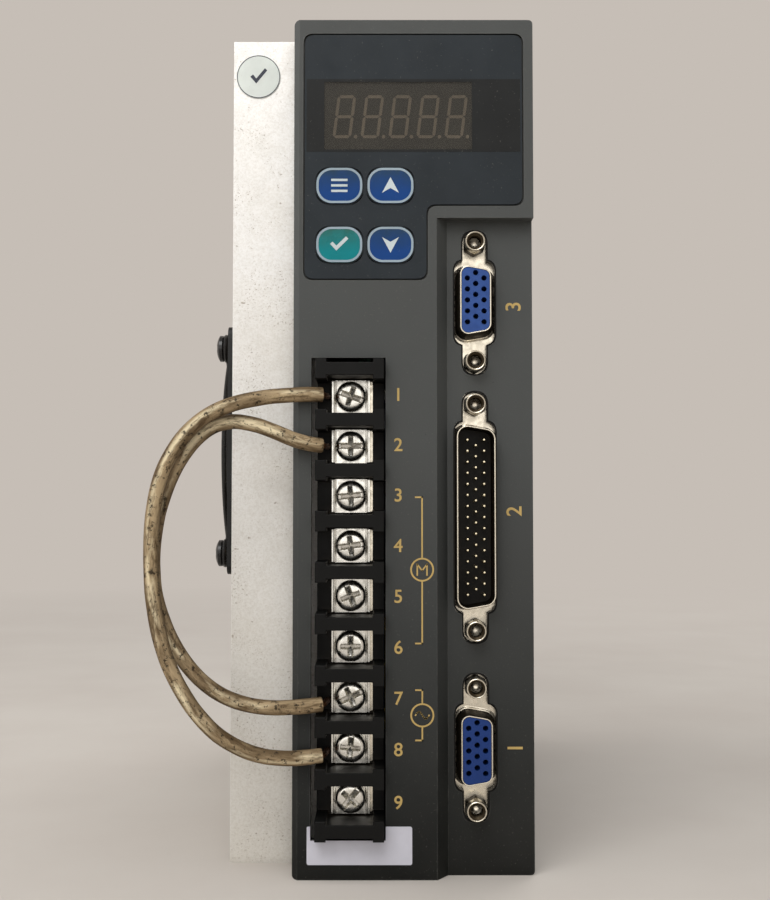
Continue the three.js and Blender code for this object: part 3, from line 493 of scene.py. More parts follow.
def insulation():
    """Old PVC: streaks along the wire, a cream painted highlight down its front that also stands for a face
    rubbed clean, painted shade on its flanks, and brown and black soiling.
    """
    finish = Finish("wire_beige", 0.7, 0, 0.16)
    object_place = finish.place
    finish.place = finish.add("ShaderNodeAttribute", attribute_name="lay").outputs["Vector"]
    finish.tones(finish.mask(2.2, 4, 0.38, 0.64), rgb(106, 88, 64), rgb(176, 154, 120))
    normal = finish.add("ShaderNodeNewGeometry").outputs["Normal"]
    facing = finish.add("ShaderNodeSeparateXYZ", {0: normal}).outputs["Y"]
    cream = finish.times(finish.mask(3.6, 4, 0.47, 0.58, roughness=0.6), 0.95)
    # cream where the surface faces the front: painted highlight, which also stands for a face rubbed clean
    finish.layer(finish.between(facing, -0.75, -0.99), cream, rgb(232, 216, 180))
    # browner where the surface turns away from the front: painted shade on the wire's flanks
    finish.layer(finish.between(facing, -0.8, -0.1), 0.6, rgb(76, 60, 40))
    finish.layer(finish.mask(1.0, 5, 0.5, 0.62, roughness=0.75), 0.75, rgb(78, 59, 37))
    finish.place = object_place
    finish.layer(finish.mask(1.3, 5, 0.56, 0.61, roughness=0.75), 0.85, rgb(32, 26, 18))
    finish.gloss(finish.mask(2, 3, 0.3, 0.7, 0.55, 0.85))
    return finish.done(finish.noise(0.8, 5, 0.65), 0.7, 0.16)


def fibre_board():
    """Solder-masked circuit board with pale pads and darker tracks."""
    finish = Finish("board_green", 0.4)
    tracks = finish.between(finish.cells(2.2), 0.42, 0.5)
    finish.tones(tracks, rgb(24, 78, 48), rgb(40, 110, 66))
    pads = finish.between(finish.cells(3.1), 0.16, 0.1)
    finish.layer(pads, 0.8, rgb(186, 182, 166))
    finish.gloss(finish.between(pads, 0, 1, 0.42, 0.25))
    return finish.done(tracks, 0.3, 0.03)


FILMS = {
    "membrane": (rgb(41, 46, 50),),
    "membrane_band": (rgb(33, 34, 34),),
    "key_edge": (rgb(150, 166, 176), 0.4, 0.1),
    "glyph": (rgb(196, 206, 208), 0.4, 0.05),
    # dsub_blue turns a lighter blue towards the top: painted shade of light from above
    "dsub_blue": (rgb(19, 50, 110), 0.4, 0.1, 0.25, (-60, 26, rgb(44, 78, 144))),
    "label_white": (rgb(200, 199, 208), 0.5, 0.25),
    "sticker_paper": (rgb(220, 225, 219), 0.5, 0.25),
    "label_ink": (rgb(70, 72, 82), 0.5, 0.1),
    "legend_gold": (rgb(190, 162, 102), 0.5, 0.2),
}
MOULDINGS = {
    "display_black": (rgb(86, 83, 75), 0.5, 0.4, 0.002, 0, 0, 0.1),
    "segment": (rgb(176, 160, 136), 0.4, 0.4, 0.004, 0, 0, 0.2),
    "block_black": (rgb(12, 12, 11), 0.45, 0.4, 0.02, 0.2, 0.3, 0.15),
    "winding_tape": (rgb(198, 164, 62), 0.45),
    "capacitor_sleeve": (rgb(28, 40, 62), 0.3, 1.2, 0.01),
    "fan_black": (rgb(22, 22, 22), 0.42, 0.5, 0.02, 0.35, 0.3, 0.35),
    "black_steel": (rgb(24, 24, 24), 0.22, 0.8, 0.01, 0.2, 0.4),
}
TARNISH = (96, 78, 52)
METALS = {
    "screw_steel": (rgb(236, 234, 226), 0.2, TARNISH, 0.9, 0.2, 0.55),
    "nickel": (rgb(232, 224, 206), 0.24, TARNISH, 0.75, 0.25, 0.3),
    # nickel_shade is nickel darkened for faces in painted shade: the shell's flanks and the screw locks'
    # bores and feet
    "nickel_shade": (rgb(64, 56, 44), 0.4, TARNISH, 0.8, 0.4, 0.6),
    "pin_gold": (rgb(240, 228, 196), 0.16, TARNISH, 0.3, 0.1, 0.35),
    "copper": (rgb(104, 70, 48), 0.5, (52, 34, 22), 0.8, 0.8, 0.35),
}
FINISH = {
    "cast_aluminium": cast_aluminium(),
    "housing": housing(),
    "window_tint": smoked_window(),
    "board_green": fibre_board(),
    "wire_beige": insulation(),
}
for make, table in ((film, FILMS), (moulded, MOULDINGS), (metal, METALS)):
    for look, values in table.items():
        FINISH[look] = make(look, *values)


# ---------- jumper wires ----------

WIRE_RADIUS = 1.6
WIRE_SIDES = 24
STRAND_RADIUS = 0.24
STRANDS = 7
OUTER_ROUTE = [
    (-18.8, -146.1, -63.6), (-20.2, -146.5, -63.7), (-21.4, -146.75, -63.8), (-24.5, -147, -64),
    (-30.2, -148.1, -63.4), (-34.8, -148.8, -61.8), (-39.2, -149.5, -59.1), (-43.4, -150, -54.9),
    (-47.1, -150.2, -49.4), (-49.8, -150.3, -43.7), (-51.6, -150.3, -37.6), (-52.6, -150.3, -31.7),
    (-53, -150.3, -26.7), (-53.1, -150.3, -22), (-52.9, -150.3, -16.1), (-52.1, -150.3, -10.2),
    (-50.2, -150.3, -4.4), (-47, -150.3, 0.8), (-42.7, -150.2, 4.9), (-37.4, -149.6, 7.6),
    (-31, -148.2, 9.2), (-24.5, -147, 9.9), (-21.4, -146.75, 10), (-20.2, -146.5, 10),
    (-18.8, -146.1, 10),
]
INNER_ROUTE = [
    (-18.8, -146.1, -53.3), (-20.2, -146.5, -53.4), (-21.4, -146.75, -53.5), (-24.4, -147, -53.7),
    (-29.1, -147.05, -53.8), (-33.9, -146.95, -53.2), (-38.7, -146.7, -51.6), (-42.9, -146.6, -48.8),
    (-46.4, -146.5, -45.1), (-49.3, -146.5, -40.7), (-51.4, -146.5, -35.9), (-52.8, -146.5, -31.3),
    (-53.4, -146.5, -26.6), (-53.4, -146.5, -22), (-52.9, -146.5, -17.2), (-51.7, -146.5, -12),
    (-49.8, -146.5, -6.8), (-47.2, -146.6, -2.2), (-44.1, -146.7, 1.4), (-40.8, -146.8, 3.6),
    (-37, -146.9, 4.4), (-32.5, -147, 3.7), (-28.2, -147.05, 2.2), (-24.6, -147, 0.7),
    (-21.4, -146.75, -0.15), (-20.2, -146.5, -0.35), (-18.8, -146.1, -0.45),
]
BARE_END = (-17.85, -140.3)


def smooth_route(points, steps=8):
    """A centripetal Catmull-Rom curve through the points."""
    knots = [Vector(p) for p in points]
    knots = [knots[0] * 2 - knots[1], *knots, knots[-1] * 2 - knots[-2]]
    out = []
    for p0, p1, p2, p3 in zip(knots, knots[1:], knots[2:], knots[3:]):
        t1 = (p1 - p0).length ** 0.5
        t2 = t1 + (p2 - p1).length ** 0.5
        t3 = t2 + (p3 - p2).length ** 0.5
        for k in range(steps):
            t = t1 + (t2 - t1) * k / steps
            a1 = p0.lerp(p1, t / t1)
            a2 = p1.lerp(p2, (t - t1) / (t2 - t1))
            a3 = p2.lerp(p3, (t - t2) / (t3 - t2))
            b1 = a1.lerp(a2, t / t2)
            b2 = a2.lerp(a3, (t - t1) / (t3 - t1))
            out.append(b1.lerp(b2, (t - t1) / (t2 - t1)))
    out.append(knots[-2])
    return out


def bare_end(name, end, inner):
    """Twisted strands from just inside the insulation down to the washer's edge."""
    line = [inner, end, Vector((*BARE_END, end.z))]
    line = smooth_route([tuple(p) for p in line], 8)
    bm = bmesh.new()
    for strand in range(STRANDS):
        ring = 0 if strand == 0 else 0.44
        points = []
        for i, point in enumerate(line):
            angle = strand * 2 * math.pi / (STRANDS - 1) + i * 0.16
            tangent = heading(line, i)
            across = tangent.cross(Vector((0, 0, 1))).normalized()
            up = across.cross(tangent)
            points.append(point + (across * math.cos(angle) + up * math.sin(angle)) * ring)
        add_tube(bm, points, STRAND_RADIUS, 6)
    return piece(name, bm, "copper")


def jumper(name, route, seed):
    """Insulated wire whose skin is a little uneven, with its bare ends as pieces on it."""
    line = smooth_route(route)

    def wobble(i, k):
        spot = line[i] * 0.25 + Vector((k * 0.5, seed, 0))
        return 0.965 + 0.035 * noise.noise(spot)

    bm = bmesh.new()
    add_tube(bm, line, WIRE_RADIUS, WIRE_SIDES, wobble)
    wire = piece(name, bm, "wire_beige", replaces=[name.replace("_wire", "")])
    lay = wire.data.attributes.new("lay", "FLOAT_VECTOR", "POINT")
    run = 0
    for i, point in enumerate(line):
        run += (point - line[i - 1]).length if i else 0
        for k in range(WIRE_SIDES):
            a = 2 * math.pi * k / WIRE_SIDES
            spot = Vector((math.cos(a), math.sin(a), 0)) * WIRE_RADIUS + Vector((seed * 9, 0, run * 0.22))
            lay.data[i * WIRE_SIDES + k].vector = spot * MM
    add_bevel(wire, 0.2)
    ends = [
        bare_end(f"{name}_end_lower", line[0], line[5]),
        bare_end(f"{name}_end_upper", line[-1], line[-6]),
    ]


jumper("jumper_outer_wire", OUTER_ROUTE, 3.1)
jumper("jumper_inner_wire", INNER_ROUTE, 8.7)


# ---------- CAD nodes that stay, with rounded edges and a finish ----------

KEPT = {
    "heat_sink": ("cast_aluminium", 0.35),
    "case_shell": ("housing", 0.25),
    "front_cover": ("housing", 0.3),
    "keypad_overlay": ("membrane", 0.06),
    "led_display": ("display_black", 0.15),
    "terminal_block": ("block_black", 0.22),
    "control_board": ("board_green", 0.1),
    "power_board": ("board_green", 0.1),
    "display_board": ("board_green", 0.1),
    "power_module": ("block_black", 0.4),
    "transformer": ("winding_tape", 0.8),
    "capacitor_1": ("capacitor_sleeve", 1.2),
    "capacitor_2": ("capacitor_sleeve", 1.2),
    "capacitor_3": ("capacitor_sleeve", 1.2),
    "fan_frame": ("fan_black", 0.4),
}
MERGE_DISTANCE = 2e-6
for node, (look, width) in KEPT.items():
    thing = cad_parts[node]
    thing.data.materials.clear()
    thing.data.materials.append(FINISH[look])
    weld = thing.modifiers.new("weld", "WELD")
    weld.merge_threshold = MERGE_DISTANCE
    add_bevel(thing, width)


# ---------- keypad ----------

FRONT = low_high("front_cover")[0].y
overlay_low, overlay_high = low_high("keypad_overlay")
window_low, window_high = low_high("display_window")
INK = 0.03
DISPLAY_FACE = FRONT + 0.4
KEY_CORNER = 3.2
KEY_COLOURS = {
    "key_blue": (rgb(18, 62, 124), rgb(38, 60, 68)),
    "key_teal": (rgb(12, 126, 132), rgb(48, 88, 72)),
}


def key_cap(node, look, symbol):
    """A domed film key, darker and greyer towards its top, with a pale rim and a plain symbol."""
    low, high = low_high(node)
    centre = (low + high) / 2
    half_w, half_h = (high.x - low.x) / 2, (high.z - low.z) / 2
    bottom_colour, top_colour = KEY_COLOURS[look]
    skin = node + "_film"
    FINISH[skin] = film(skin, bottom_colour, 0.34, 0.1, shade=(low.z + 2.2, high.z + 0.6, top_colour))
    rim, skirt = 0.46, 0.27
    face = low.y

    def outline(grow, corner, steps=10):
        wide, tall = half_w + grow, half_h + grow
        return moved(rectangle(-wide, wide, -tall, tall, corner, steps), centre.x, centre.z)

    bm = bmesh.new()
    levels = [(0, high.y), (0, face + 0.35), (0.05, face + 0.18), (0.16, face + 0.08), (0.5, face + 0.04),
              (1.2, face + 0.02), (2.4, face + 0.005)]
    rings = [add_loop(bm, outline(-inset, max(KEY_CORNER - inset, 0.6), 8), y) for inset, y in levels]
    join_rings(bm, rings)
    bm.faces.new(rings[0])
    bm.faces.new(rings[-1])
    piece(node + "_cap", bm, skin, node, [node], smooth=60)

    bm = bmesh.new()
    edge = outline(0, KEY_CORNER)
    add_slab(bm, edge, face, face + 0.1, [outline(-rim, 2.75)])
    piece(node + "_rim", bm, "key_edge", node)

    bm = bmesh.new()
    add_slab(bm, outline(skirt, KEY_CORNER + skirt), FRONT + 0.01, FRONT + 0.35, [edge])
    piece(node + "_skirt", bm, "membrane", body=node)

    bm = bmesh.new()
    for shape in symbol:
        add_slab(bm, moved(shape, centre.x, centre.z), face - INK, face + 0.05)
    piece(node + "_symbol", bm, "glyph", node)


BARS = [moved(rectangle(-1.7, 1.7, -0.24, 0.24), 0, row * 1.15) for row in (-1, 0, 1)]
ARROW = [(-1.75, -1.55), (0, -0.55), (1.75, -1.55), (0, 1.75)]
TICK = [(-1.9, 0.1), (-1.4, 0.6), (-0.6, -0.25), (1.4, 1.7), (1.9, 1.2), (-0.6, -1.3)]
key_cap("key_menu", "key_blue", BARS)
key_cap("key_up", "key_blue", [ARROW])
key_cap("key_set", "key_teal", [TICK])
key_cap("key_down", "key_blue", [[(x, -z) for x, z in ARROW]])


def window_film():
    """Smoked film in the overlay's window, and the display's dark face right behind it."""
    bm = bmesh.new()
    film_outline = rectangle(window_low.x, window_high.x, window_low.z, window_high.z)
    add_slab(bm, film_outline, FRONT, FRONT + 0.25)
    piece("display_window_film", bm, "window_tint", replaces=["display_window"])
    bm = bmesh.new()
    add_slab(bm, film_outline, DISPLAY_FACE, FRONT + 0.48)
    piece("display_face", bm, "display_black")


def display_band():
    """The darker printed band round the window."""
    bm = bmesh.new()
    outer = rectangle(overlay_low.x + 0.35, overlay_high.x - 0.35, window_low.z - 0.4, window_high.z + 0.5)
    hole = rectangle(window_low.x + 0.1, window_high.x - 0.1, window_low.z + 0.1, window_high.z - 0.1)
    add_slab(bm, outer, FRONT - INK, FRONT + 0.02, [hole])
    piece("display_band", bm, "membrane_band")


window_film()
display_band()


# ---------- display ----------

DIGIT_WIDTH = 3.9
DIGIT_HEIGHT = 9.1
DIGIT_PITCH = 5.85
DIGIT_SLANT = math.tan(math.radians(7))
SEGMENT = 0.62


def segment_bar(length):
    """One bar of a digit along X, pointed at both ends."""
    half, thick = length / 2 - 0.07, SEGMENT / 2
    return [(-half, 0), (-half + thick, -thick), (half - thick, -thick), (half, 0), (half - thick, thick),
            (-half + thick, thick)]


def turned_bar(outline):
    return [(-z, x) for x, z in outline]


def display_digits():
    """Five unlit digits with their points, set in the display's face."""
    face = DISPLAY_FACE
    centre_z = (window_low.z + window_high.z) / 2 - 0.1
    width, tall = DIGIT_WIDTH - SEGMENT, (DIGIT_HEIGHT - SEGMENT) / 2
    across, upright = segment_bar(width), turned_bar(segment_bar(tall))
    bars = [(across, 0, tall), (across, 0, 0), (across, 0, -tall)]
    bars += [(upright, sx * width / 2, sz * tall / 2) for sx in (-1, 1) for sz in (-1, 1)]
    bm = bmesh.new()
    for digit in range(5):
        x0 = window_low.x + 4.3 + digit * DIGIT_PITCH
        for outline, dx, dz in bars:
            shape = [(x0 + x + dx + (z + dz) * DIGIT_SLANT, centre_z + z + dz) for x, z in outline]
            add_slab(bm, shape, face - 0.05, face + 0.1)
        add_slab(bm, circle(x0 + 2.35, centre_z - tall, 0.38, 16), face - 0.05, face + 0.1)
    piece("display_digits", bm, "segment")


display_digits()


# ---------- terminals ----------

SLOT_TURNS = [20, 0, -5, -8, 70, 90, -25, 95, -50]
SCREW_HOLE = 1.9


def terminal_head(index):
    """Pan head: a flat crown with a steep edge, a slot across it and a deeper cross in the middle."""
    node = f"terminal_screw_{index}"
    low, high = low_high(node)
    x0, z0 = middle(node).xz
    radius = (high.x - low.x) / 2
    seat = low_high(f"terminal_washer_{index}")[0].y + 0.6 - low.y
    turn = math.radians(SLOT_TURNS[index - 1])
    slot_depth, slot_half, cross_half, cross_reach, wall_width = 0.5, 0.6, 0.5, 2.1, 0.16

    def crown(share):
        return 0.12 * share ** 2 + 0.8 * share ** 9

    def recess(x, z):
        u = x * math.cos(turn) - z * math.sin(turn)
        v = x * math.sin(turn) + z * math.cos(turn)
        reach = math.hypot(u, v)
        slot = slot_depth * wall(v, slot_half, wall_width)
        half = cross_half + max(0.22 * (1 - reach / 1.4), 0)
        cross = max(wall(v, half, wall_width), wall(u, half, wall_width))
        cross *= 0.85 + 1.1 * max(1 - reach / cross_reach, 0)
        return max(slot, cross if reach < cross_reach else 0)

    foot = high.y - low.y
    shank = [(radius, seat - 0.25), (radius - 0.12, seat), (1.5, seat), (1.5, foot), (0, foot)]
    bm = bmesh.new()
    add_head(bm, (x0, low.y, z0), radius, crown, recess, shank, 96, 30)
    piece(node + "_head", bm, "screw_steel", body=f"terminal_{index}", replaces=[node], smooth=40)


def terminal_washer(index):
    """Square washer: a bent strip with both sides turned up and a hole for the screw."""
    node = f"terminal_washer_{index}"
    low, high = low_high(node)
    x0, z0 = middle(node).xz
    half_x, half_z = (high.x - low.x) / 2, (high.z - low.z) / 2
    plate = 0.8
    bm = bmesh.new()
    outer = rectangle(x0 - half_x + 0.5, x0 + half_x - 0.5, z0 - half_z, z0 + half_z, 0.3, 3)
    add_slab(bm, outer, high.y - plate, high.y, [circle(x0, z0, SCREW_HOLE)])
    section = [(0, 0), (0.65, 0), (0.92, -0.15), (1, -0.5), (1, -1.4), (0.62, -1.4), (0.56, -0.95),
               (0, -plate)]
    for side in (-1, 1):
        ends = []
        for z in (z0 - half_z + 0.15, z0 + half_z - 0.15):
            ends.append([bm.verts.new((x0 + side * (half_x - 1 + x), high.y + y, z)) for x, y in section])
        join_rings(bm, ends)
        for end in ends:
            bm.faces.new(end)
    piece(node + "_plate", bm, "screw_steel", body=f"terminal_{index}", replaces=[node], bevel=0.1)


for number in range(1, 10):
    terminal_head(number)
    terminal_washer(number)


def contact_plates():
    """The nine contact strips that the washers press on, in the block's floor."""
    bm = bmesh.new()
    for number in range(1, 10):
        washer = f"terminal_washer_{number}"
        x0, z0 = middle(washer).xz
        floor = low_high(washer)[1].y
        outer = rectangle(x0 - 3.9, x0 + 4.6, z0 - 3.3, z0 + 3.3, 0.3, 3)
        add_slab(bm, outer, floor + 0.02, floor + 0.28, [circle(x0, z0, SCREW_HOLE)])
    piece("contact_plates", bm, "nickel", bevel=0.05)


contact_plates()


# ---------- D-sub connectors ----------

PIN_PITCH = 2.29
PIN_ROW = 1.72
SLOPE = math.tan(math.radians(10))
SOCKET = {"long": 16.33, "short": 7.9, "cutout": 18.5, "rows": [5, 5, 5], "plug": False}
PLUG = {"long": 38.96, "short": 8.36, "cutout": 40.6, "rows": [15, 14, 15], "plug": True}
CONNECTORS = {"cn1": SOCKET, "cn2": PLUG, "cn3": SOCKET}
COVER_WALL = 2.0
FLANGE = 0.8
recess_floor = low_high("cn1_shell")[1].y - FLANGE - 0.3 - COVER_WALL


def d_outline(kind, grow, steps=8):
    x = kind["short"] / 2 + grow
    wide = kind["long"] / 2 + grow
    narrow = wide - 2 * x * SLOPE
    return rounded([(-x, -wide), (x, -narrow), (x, narrow), (-x, wide)], 2.4 + grow, steps)


def shade_strips(bm, first, count, strips):
    """Gives strips of so many faces, counted from a face, the second material."""
    bm.faces.ensure_lookup_table()
    for strip in strips:
        for face in bm.faces[first + strip * count:first + (strip + 1) * count]:
            face.material_index = 1


def contacts(kind):
    """Middle of each contact as (x, z)."""
    out = []
    for row, count in enumerate(kind["rows"]):
        stagger = PIN_PITCH / 2 if row == 1 and count == kind["rows"][0] else 0
        for i in range(count):
            out.append(((row - 1) * PIN_ROW, (i - (count - 1) / 2) * PIN_PITCH + stagger))
    return out


def cutout_outline(kind, jack, inset):
    """The cover's opening: a rounded middle with a lobe for the screw at each end."""
    half_width, corner_radius, lobe_radius, steps = 4.55, 2.5, 2.8, 8
    corner, lobe = corner_radius - inset, lobe_radius - inset
    corner_x, corner_z = half_width - corner_radius, kind["cutout"] / 2 - corner_radius
    quarter = []
    for k in range(steps + 1):
        a = math.radians(90 - 90 * k / steps)
        quarter.append((lobe * math.cos(a), jack + 0.12 + lobe * math.sin(a)))
    start = math.acos((lobe - corner_x) / corner)
    for k in range(steps + 1):
        a = start * (1 - k / steps)
        quarter.append((corner_x + corner * math.cos(a), corner_z + corner * math.sin(a)))
    half = quarter + [(x, -z) for x, z in reversed(quarter)]
    return half + [(-x, z) for x, z in reversed(half[1:-1])]


def cutout_lining(name, kind, x0, z0, jack):
    """A black ring in the cover's opening, close round the connector: painted shadow of the opening's edge.
    """
    bm = bmesh.new()
    outer = moved(cutout_outline(kind, jack, -0.03), x0, z0)
    inner = moved(cutout_outline(kind, jack, 0.3), x0, z0)
    add_slab(bm, outer, recess_floor - 0.02, recess_floor + COVER_WALL - 0.1, [inner])
    piece(f"{name}_cutout_lining", bm, "block_black")


def connector_shell(name, kind, x0, z0, jack):
    """Pressed sheet-metal shell: flange with two holes, rolled root, flanks in painted shade, thin rounded
    lip.
    """
    low, high = low_high(f"{name}_shell")
    flange, tip = high.y - FLANGE, low.y
    bm = bmesh.new()
    plate = rectangle(low.x, high.x, low.z, high.z, 1.5, 5)
    inside = moved(d_outline(kind, -0.5), x0, z0)
    holes = [circle(x0, z0 + side * jack, 1.7, 24) for side in (-1, 1)]
    add_slab(bm, plate, flange, high.y, [inside, *holes])
    reach = tip - flange
    lean = 0.15 if kind["plug"] else 0.7
    profile = [(0.75, 0.02), (0.42, -0.06), (0.34, -0.5), (0.04, -0.6), (-lean, reach + 0.14),
               (-lean - 0.06, reach + 0.03), (-lean - 0.16, reach), (-lean - 0.27, reach + 0.03),
               (-lean - 0.33, reach + 0.14), (-0.48 - lean, 0.4), (0.75, 0.4)]
    rings = [add_loop(bm, moved(d_outline(kind, grow), x0, z0), flange + y) for grow, y in profile]
    before = len(bm.faces)
    join_rings(bm, rings, closed=True)
    # the outer and inner flank strips take the darkened nickel: painted shade
    shade_strips(bm, before, len(rings[0]), (3, 8))
    piece(f"{name}_shell_pressed", bm, "nickel", replaces=[f"{name}_shell"], smooth=45, second="nickel_shade")


def connector_insulator(name, kind, x0, z0):
    low, high = low_high(f"{name}_insulator")
    shell_low, shell_high = low_high(f"{name}_shell")
    flange = shell_high.y - FLANGE
    bm = bmesh.new()
    back = shell_high.y + 0.3
    if kind["plug"]:
        add_slab(bm, moved(d_outline(kind, -0.7), x0, z0), flange - 0.5, back)
    else:
        nose = moved(d_outline(kind, -1.08), x0, z0)
        face = shell_low.y + 0.12
        holes = [circle(x0 + x, z0 + z, 0.57, 16) for x, z in contacts(kind)]
        add_slab(bm, nose, face, face + 4.5, holes)
        add_slab(bm, nose, face + 4.5, back)
    add_slab(bm, rectangle(low.x, high.x, low.z, high.z, 0.4, 3), back, high.y)
    look = "block_black" if kind["plug"] else "dsub_blue"
    piece(f"{name}_insulator_body", bm, look, replaces=[f"{name}_insulator"], bevel=0.06)


def connector_pins(name, kind, x0, z0):
    """Round-nosed contact pins standing on the insulator."""
    shell_low, shell_high = low_high(f"{name}_shell")
    root, tip = shell_high.y - 1.2, shell_low.y + 1.2
    profile = [(0, tip), (0.2, tip + 0.03), (0.28, tip + 0.12), (0.34, tip + 0.5), (0.34, root), (0, root)]
    bm = bmesh.new()
    for x, z in contacts(kind):
        add_turned(bm, profile, (x0 + x, 0, z0 + z), sides=12)
    piece(f"{name}_pins", bm, "pin_gold")


def jack_screw(node):
    """Screw lock: round chamfered nose, threaded bore, hexagonal foot and stud; the bore and the foot's
    shoulder and flats are in painted shade.
    """
    low, high = low_high(node)
    x0, z0 = middle(node).xz
    nose, seat, stud = low.y, high.y - 3.32, 1.4
    sides, flats, threads, thread_pitch = 72, 2.12, 7, 0.5
    bm = bmesh.new()

    def rings(profile, flats=0):
        return [add_row(bm, (x0, 0, z0), radius, y, sides, flats=flats) for radius, y in profile]

    rows = rings([(0, high.y), (stud, high.y), (stud, seat)])
    rows += rings([(2.36, seat), (2.36, nose + 2.4)], flats)
    rows += rings([(2.13, nose + 2), (2.1, nose + 0.3), (2.02, nose + 0.08), (1.9, nose)])
    rows += rings([(1.78, nose + 0.06), (1.7, nose + 0.3)])
    mouth = len(rows) - 1
    for k in range(threads):
        root = nose + 0.55 + k * thread_pitch
        rows += rings([(1.3, root), (1.58, root + 0.25)])
    bore = len(rows) - 1
    rows += rings([(0.8, nose + 4.3), (0, nose + 4.5)])
    join_rings(bm, rows)
    # the foot's shoulder and flats and the threaded bore take the darkened nickel: painted shade
    shade_strips(bm, 0, sides, (2, 3, *range(mouth, bore)))
    piece(f"{node}_turned", bm, "nickel", replaces=[node], smooth=30, second="nickel_shade")


for name, kind in CONNECTORS.items():
    centre = middle(f"{name}_shell")
    jack = middle(f"{name}_jackscrew_upper").z - centre.z
    cutout_lining(name, kind, centre.x, centre.z, jack)
    connector_shell(name, kind, centre.x, centre.z, jack)
    connector_insulator(name, kind, centre.x, centre.z)
    if kind["plug"]:
        connector_pins(name, kind, centre.x, centre.z)
    jack_screw(f"{name}_jackscrew_upper")
    jack_screw(f"{name}_jackscrew_lower")


# ---------- fan ----------

fan_low, fan_high = low_high("fan_frame")
fan_y, fan_z = (fan_low.y + fan_high.y) / 2, (fan_low.z + fan_high.z) / 2
SCREW_CIRCLE = 25 * math.sqrt(2)
EYE_RADIUS = 2.9
BLADES = 7


def round_fan(x, radius, angle):
    """A point round the fan's axis."""
    return (x, fan_y + radius * math.cos(angle), fan_z + radius * math.sin(angle))


def add_blade(bm, turn, front, root, tip):
    """A thin curved blade: a grid of vertices on each side, closed round the rim."""
    spans, chords = 8, 10
    sheets = []
    for skin in (-0.44, 0.44):
        grid = []
        for i in range(spans + 1):
            s = i / spans
            row = []
            for k in range(chords + 1):
                t = k / chords
                thin = 0.35 + 0.65 * math.sin(math.pi * min(max(t, 0.04), 0.96))
                angle = turn + (t - 0.5) * (0.62 + 0.04 * s) + 0.14 * s * s
                x = front + 1.4 + 7.4 * t + 0.9 * math.sin(math.pi * t) + skin * thin
                row.append(bm.verts.new(round_fan(x, root + (tip - root) * s, angle)))
            grid.append(row)
        sheets.append(grid)
    near, far = sheets
    for i in range(spans):
        for k in range(chords):
            bm.faces.new((near[i][k], near[i + 1][k], near[i + 1][k + 1], near[i][k + 1]))
            bm.faces.new((far[i][k], far[i][k + 1], far[i + 1][k + 1], far[i + 1][k]))
    rim = [(i, 0) for i in range(spans)] + [(spans, k) for k in range(chords)]
    rim += [(i, chords) for i in range(spans, 0, -1)] + [(0, k) for k in range(chords, 0, -1)]
    for (i, k), (j, m) in zip(rim, rim[1:] + rim[:1]):
        bm.faces.new((near[i][k], near[j][m], far[j][m], far[i][k]))


def fan_rotor():
    """Hub with a rounded rim and a shallow dish, seven curved blades and a label."""
    low, high = low_high("fan_rotor")
    hub, tip = 14.0, 27.4
    front, back = low.x, low.x + 9.5
    axis = (0, fan_y, fan_z)
    profile = [(0, front + 0.5), (8.5, front + 0.5), (9, front + 0.25), (12.6, front + 0.1),
               (13.6, front + 0.4), (hub, front + 1.2), (hub, back), (1.5, back), (1.5, high.x), (0, high.x)]
    bm = bmesh.new()
    add_turned(bm, profile, axis, "x", 64)
    for blade in range(BLADES):
        add_blade(bm, blade * 2 * math.pi / BLADES, front, hub - 0.6, tip)
    piece("fan_rotor_moulding", bm, "fan_black", body="fan_rotor", replaces=["fan_rotor"])

    bm = bmesh.new()
    label = [(0, front + 0.42), (8.2, front + 0.42), (8.2, front + 0.52), (0, front + 0.52)]
    add_turned(bm, label, axis, "x", 48)
    piece("fan_hub_label", bm, "label_white", body="fan_rotor")


def fan_guard():
    """Flat finger guard: four rings on four arms that end in screw eyes."""
    x0 = middle("fan_guard").x
    wire = 0.58
    inner, outer = 9.0, (fan_high.z - fan_low.z) / 2 - 0.5
    reach = SCREW_CIRCLE - EYE_RADIUS
    bm = bmesh.new()
    for ring in range(4):
        add_ring(bm, (x0, fan_y, fan_z), inner + ring * (outer - inner) / 3, wire, 96)
    for arm in range(4):
        angle = math.radians(45 + 90 * arm)
        points = [round_fan(x0, inner + (reach - inner) * k / 12, angle) for k in range(13)]
        add_tube(bm, points, wire * 0.9)
        add_ring(bm, round_fan(x0, SCREW_CIRCLE, angle), EYE_RADIUS, wire, 32)
    piece("fan_guard_wire", bm, "black_steel", replaces=["fan_guard"])


def fan_screw(index):
    """Pan head with a cross recess, along X."""
    node = f"fan_screw_{index}"
    low, high = low_high(node)
    y0, z0 = middle(node).yz
    seat, radius, foot = 1.6, 3.2, high.x - low.x
    cross_half, cross_reach, wall_width = 0.55, 2, 0.2

    def recess(y, z):
        reach = math.hypot(y, z)
        cross = max(wall(y, cross_half, wall_width), wall(z, cross_half, wall_width))
        return cross * (1.1 - 0.3 * reach) if reach < cross_reach else 0

    bm = bmesh.new()
    shank = [(radius, seat - 0.1), (radius - 0.1, seat), (1.7, seat), (1.7, foot), (0, foot)]
    add_head(bm, (low.x, y0, z0), radius, lambda share: 0.8 * share ** 3, recess, shank, 64, 18, "x")
    piece(node + "_head", bm, "black_steel", replaces=[node], smooth=40)


fan_rotor()
fan_guard()
for number in range(1, 5):
    fan_screw(number)


# ---------- label, sticker and printed marks ----------

def paper_label():
    """Blank paper label under the terminals, cut away where the block stands."""
    low, high = low_high("terminal_label")
    block_low, block_high = low_high("terminal_block")
    left, right, foot = block_low.x - 1.0, block_high.x + 0.3, block_low.z - 0.3
    shape = [(low.x, low.z), (high.x, low.z), (high.x, high.z), (right, high.z), (right, foot), (left, foot),
             (left, high.z), (low.x, high.z)]
    bm = bmesh.new()
    add_slab(bm, rounded(shape, [0.4, 0.4, 0.4, 0, 0, 0, 0, 0.2], 4), FRONT - 0.16, FRONT - 0.02)
    piece("terminal_label_paper", bm, "label_white", replaces=["terminal_label"])


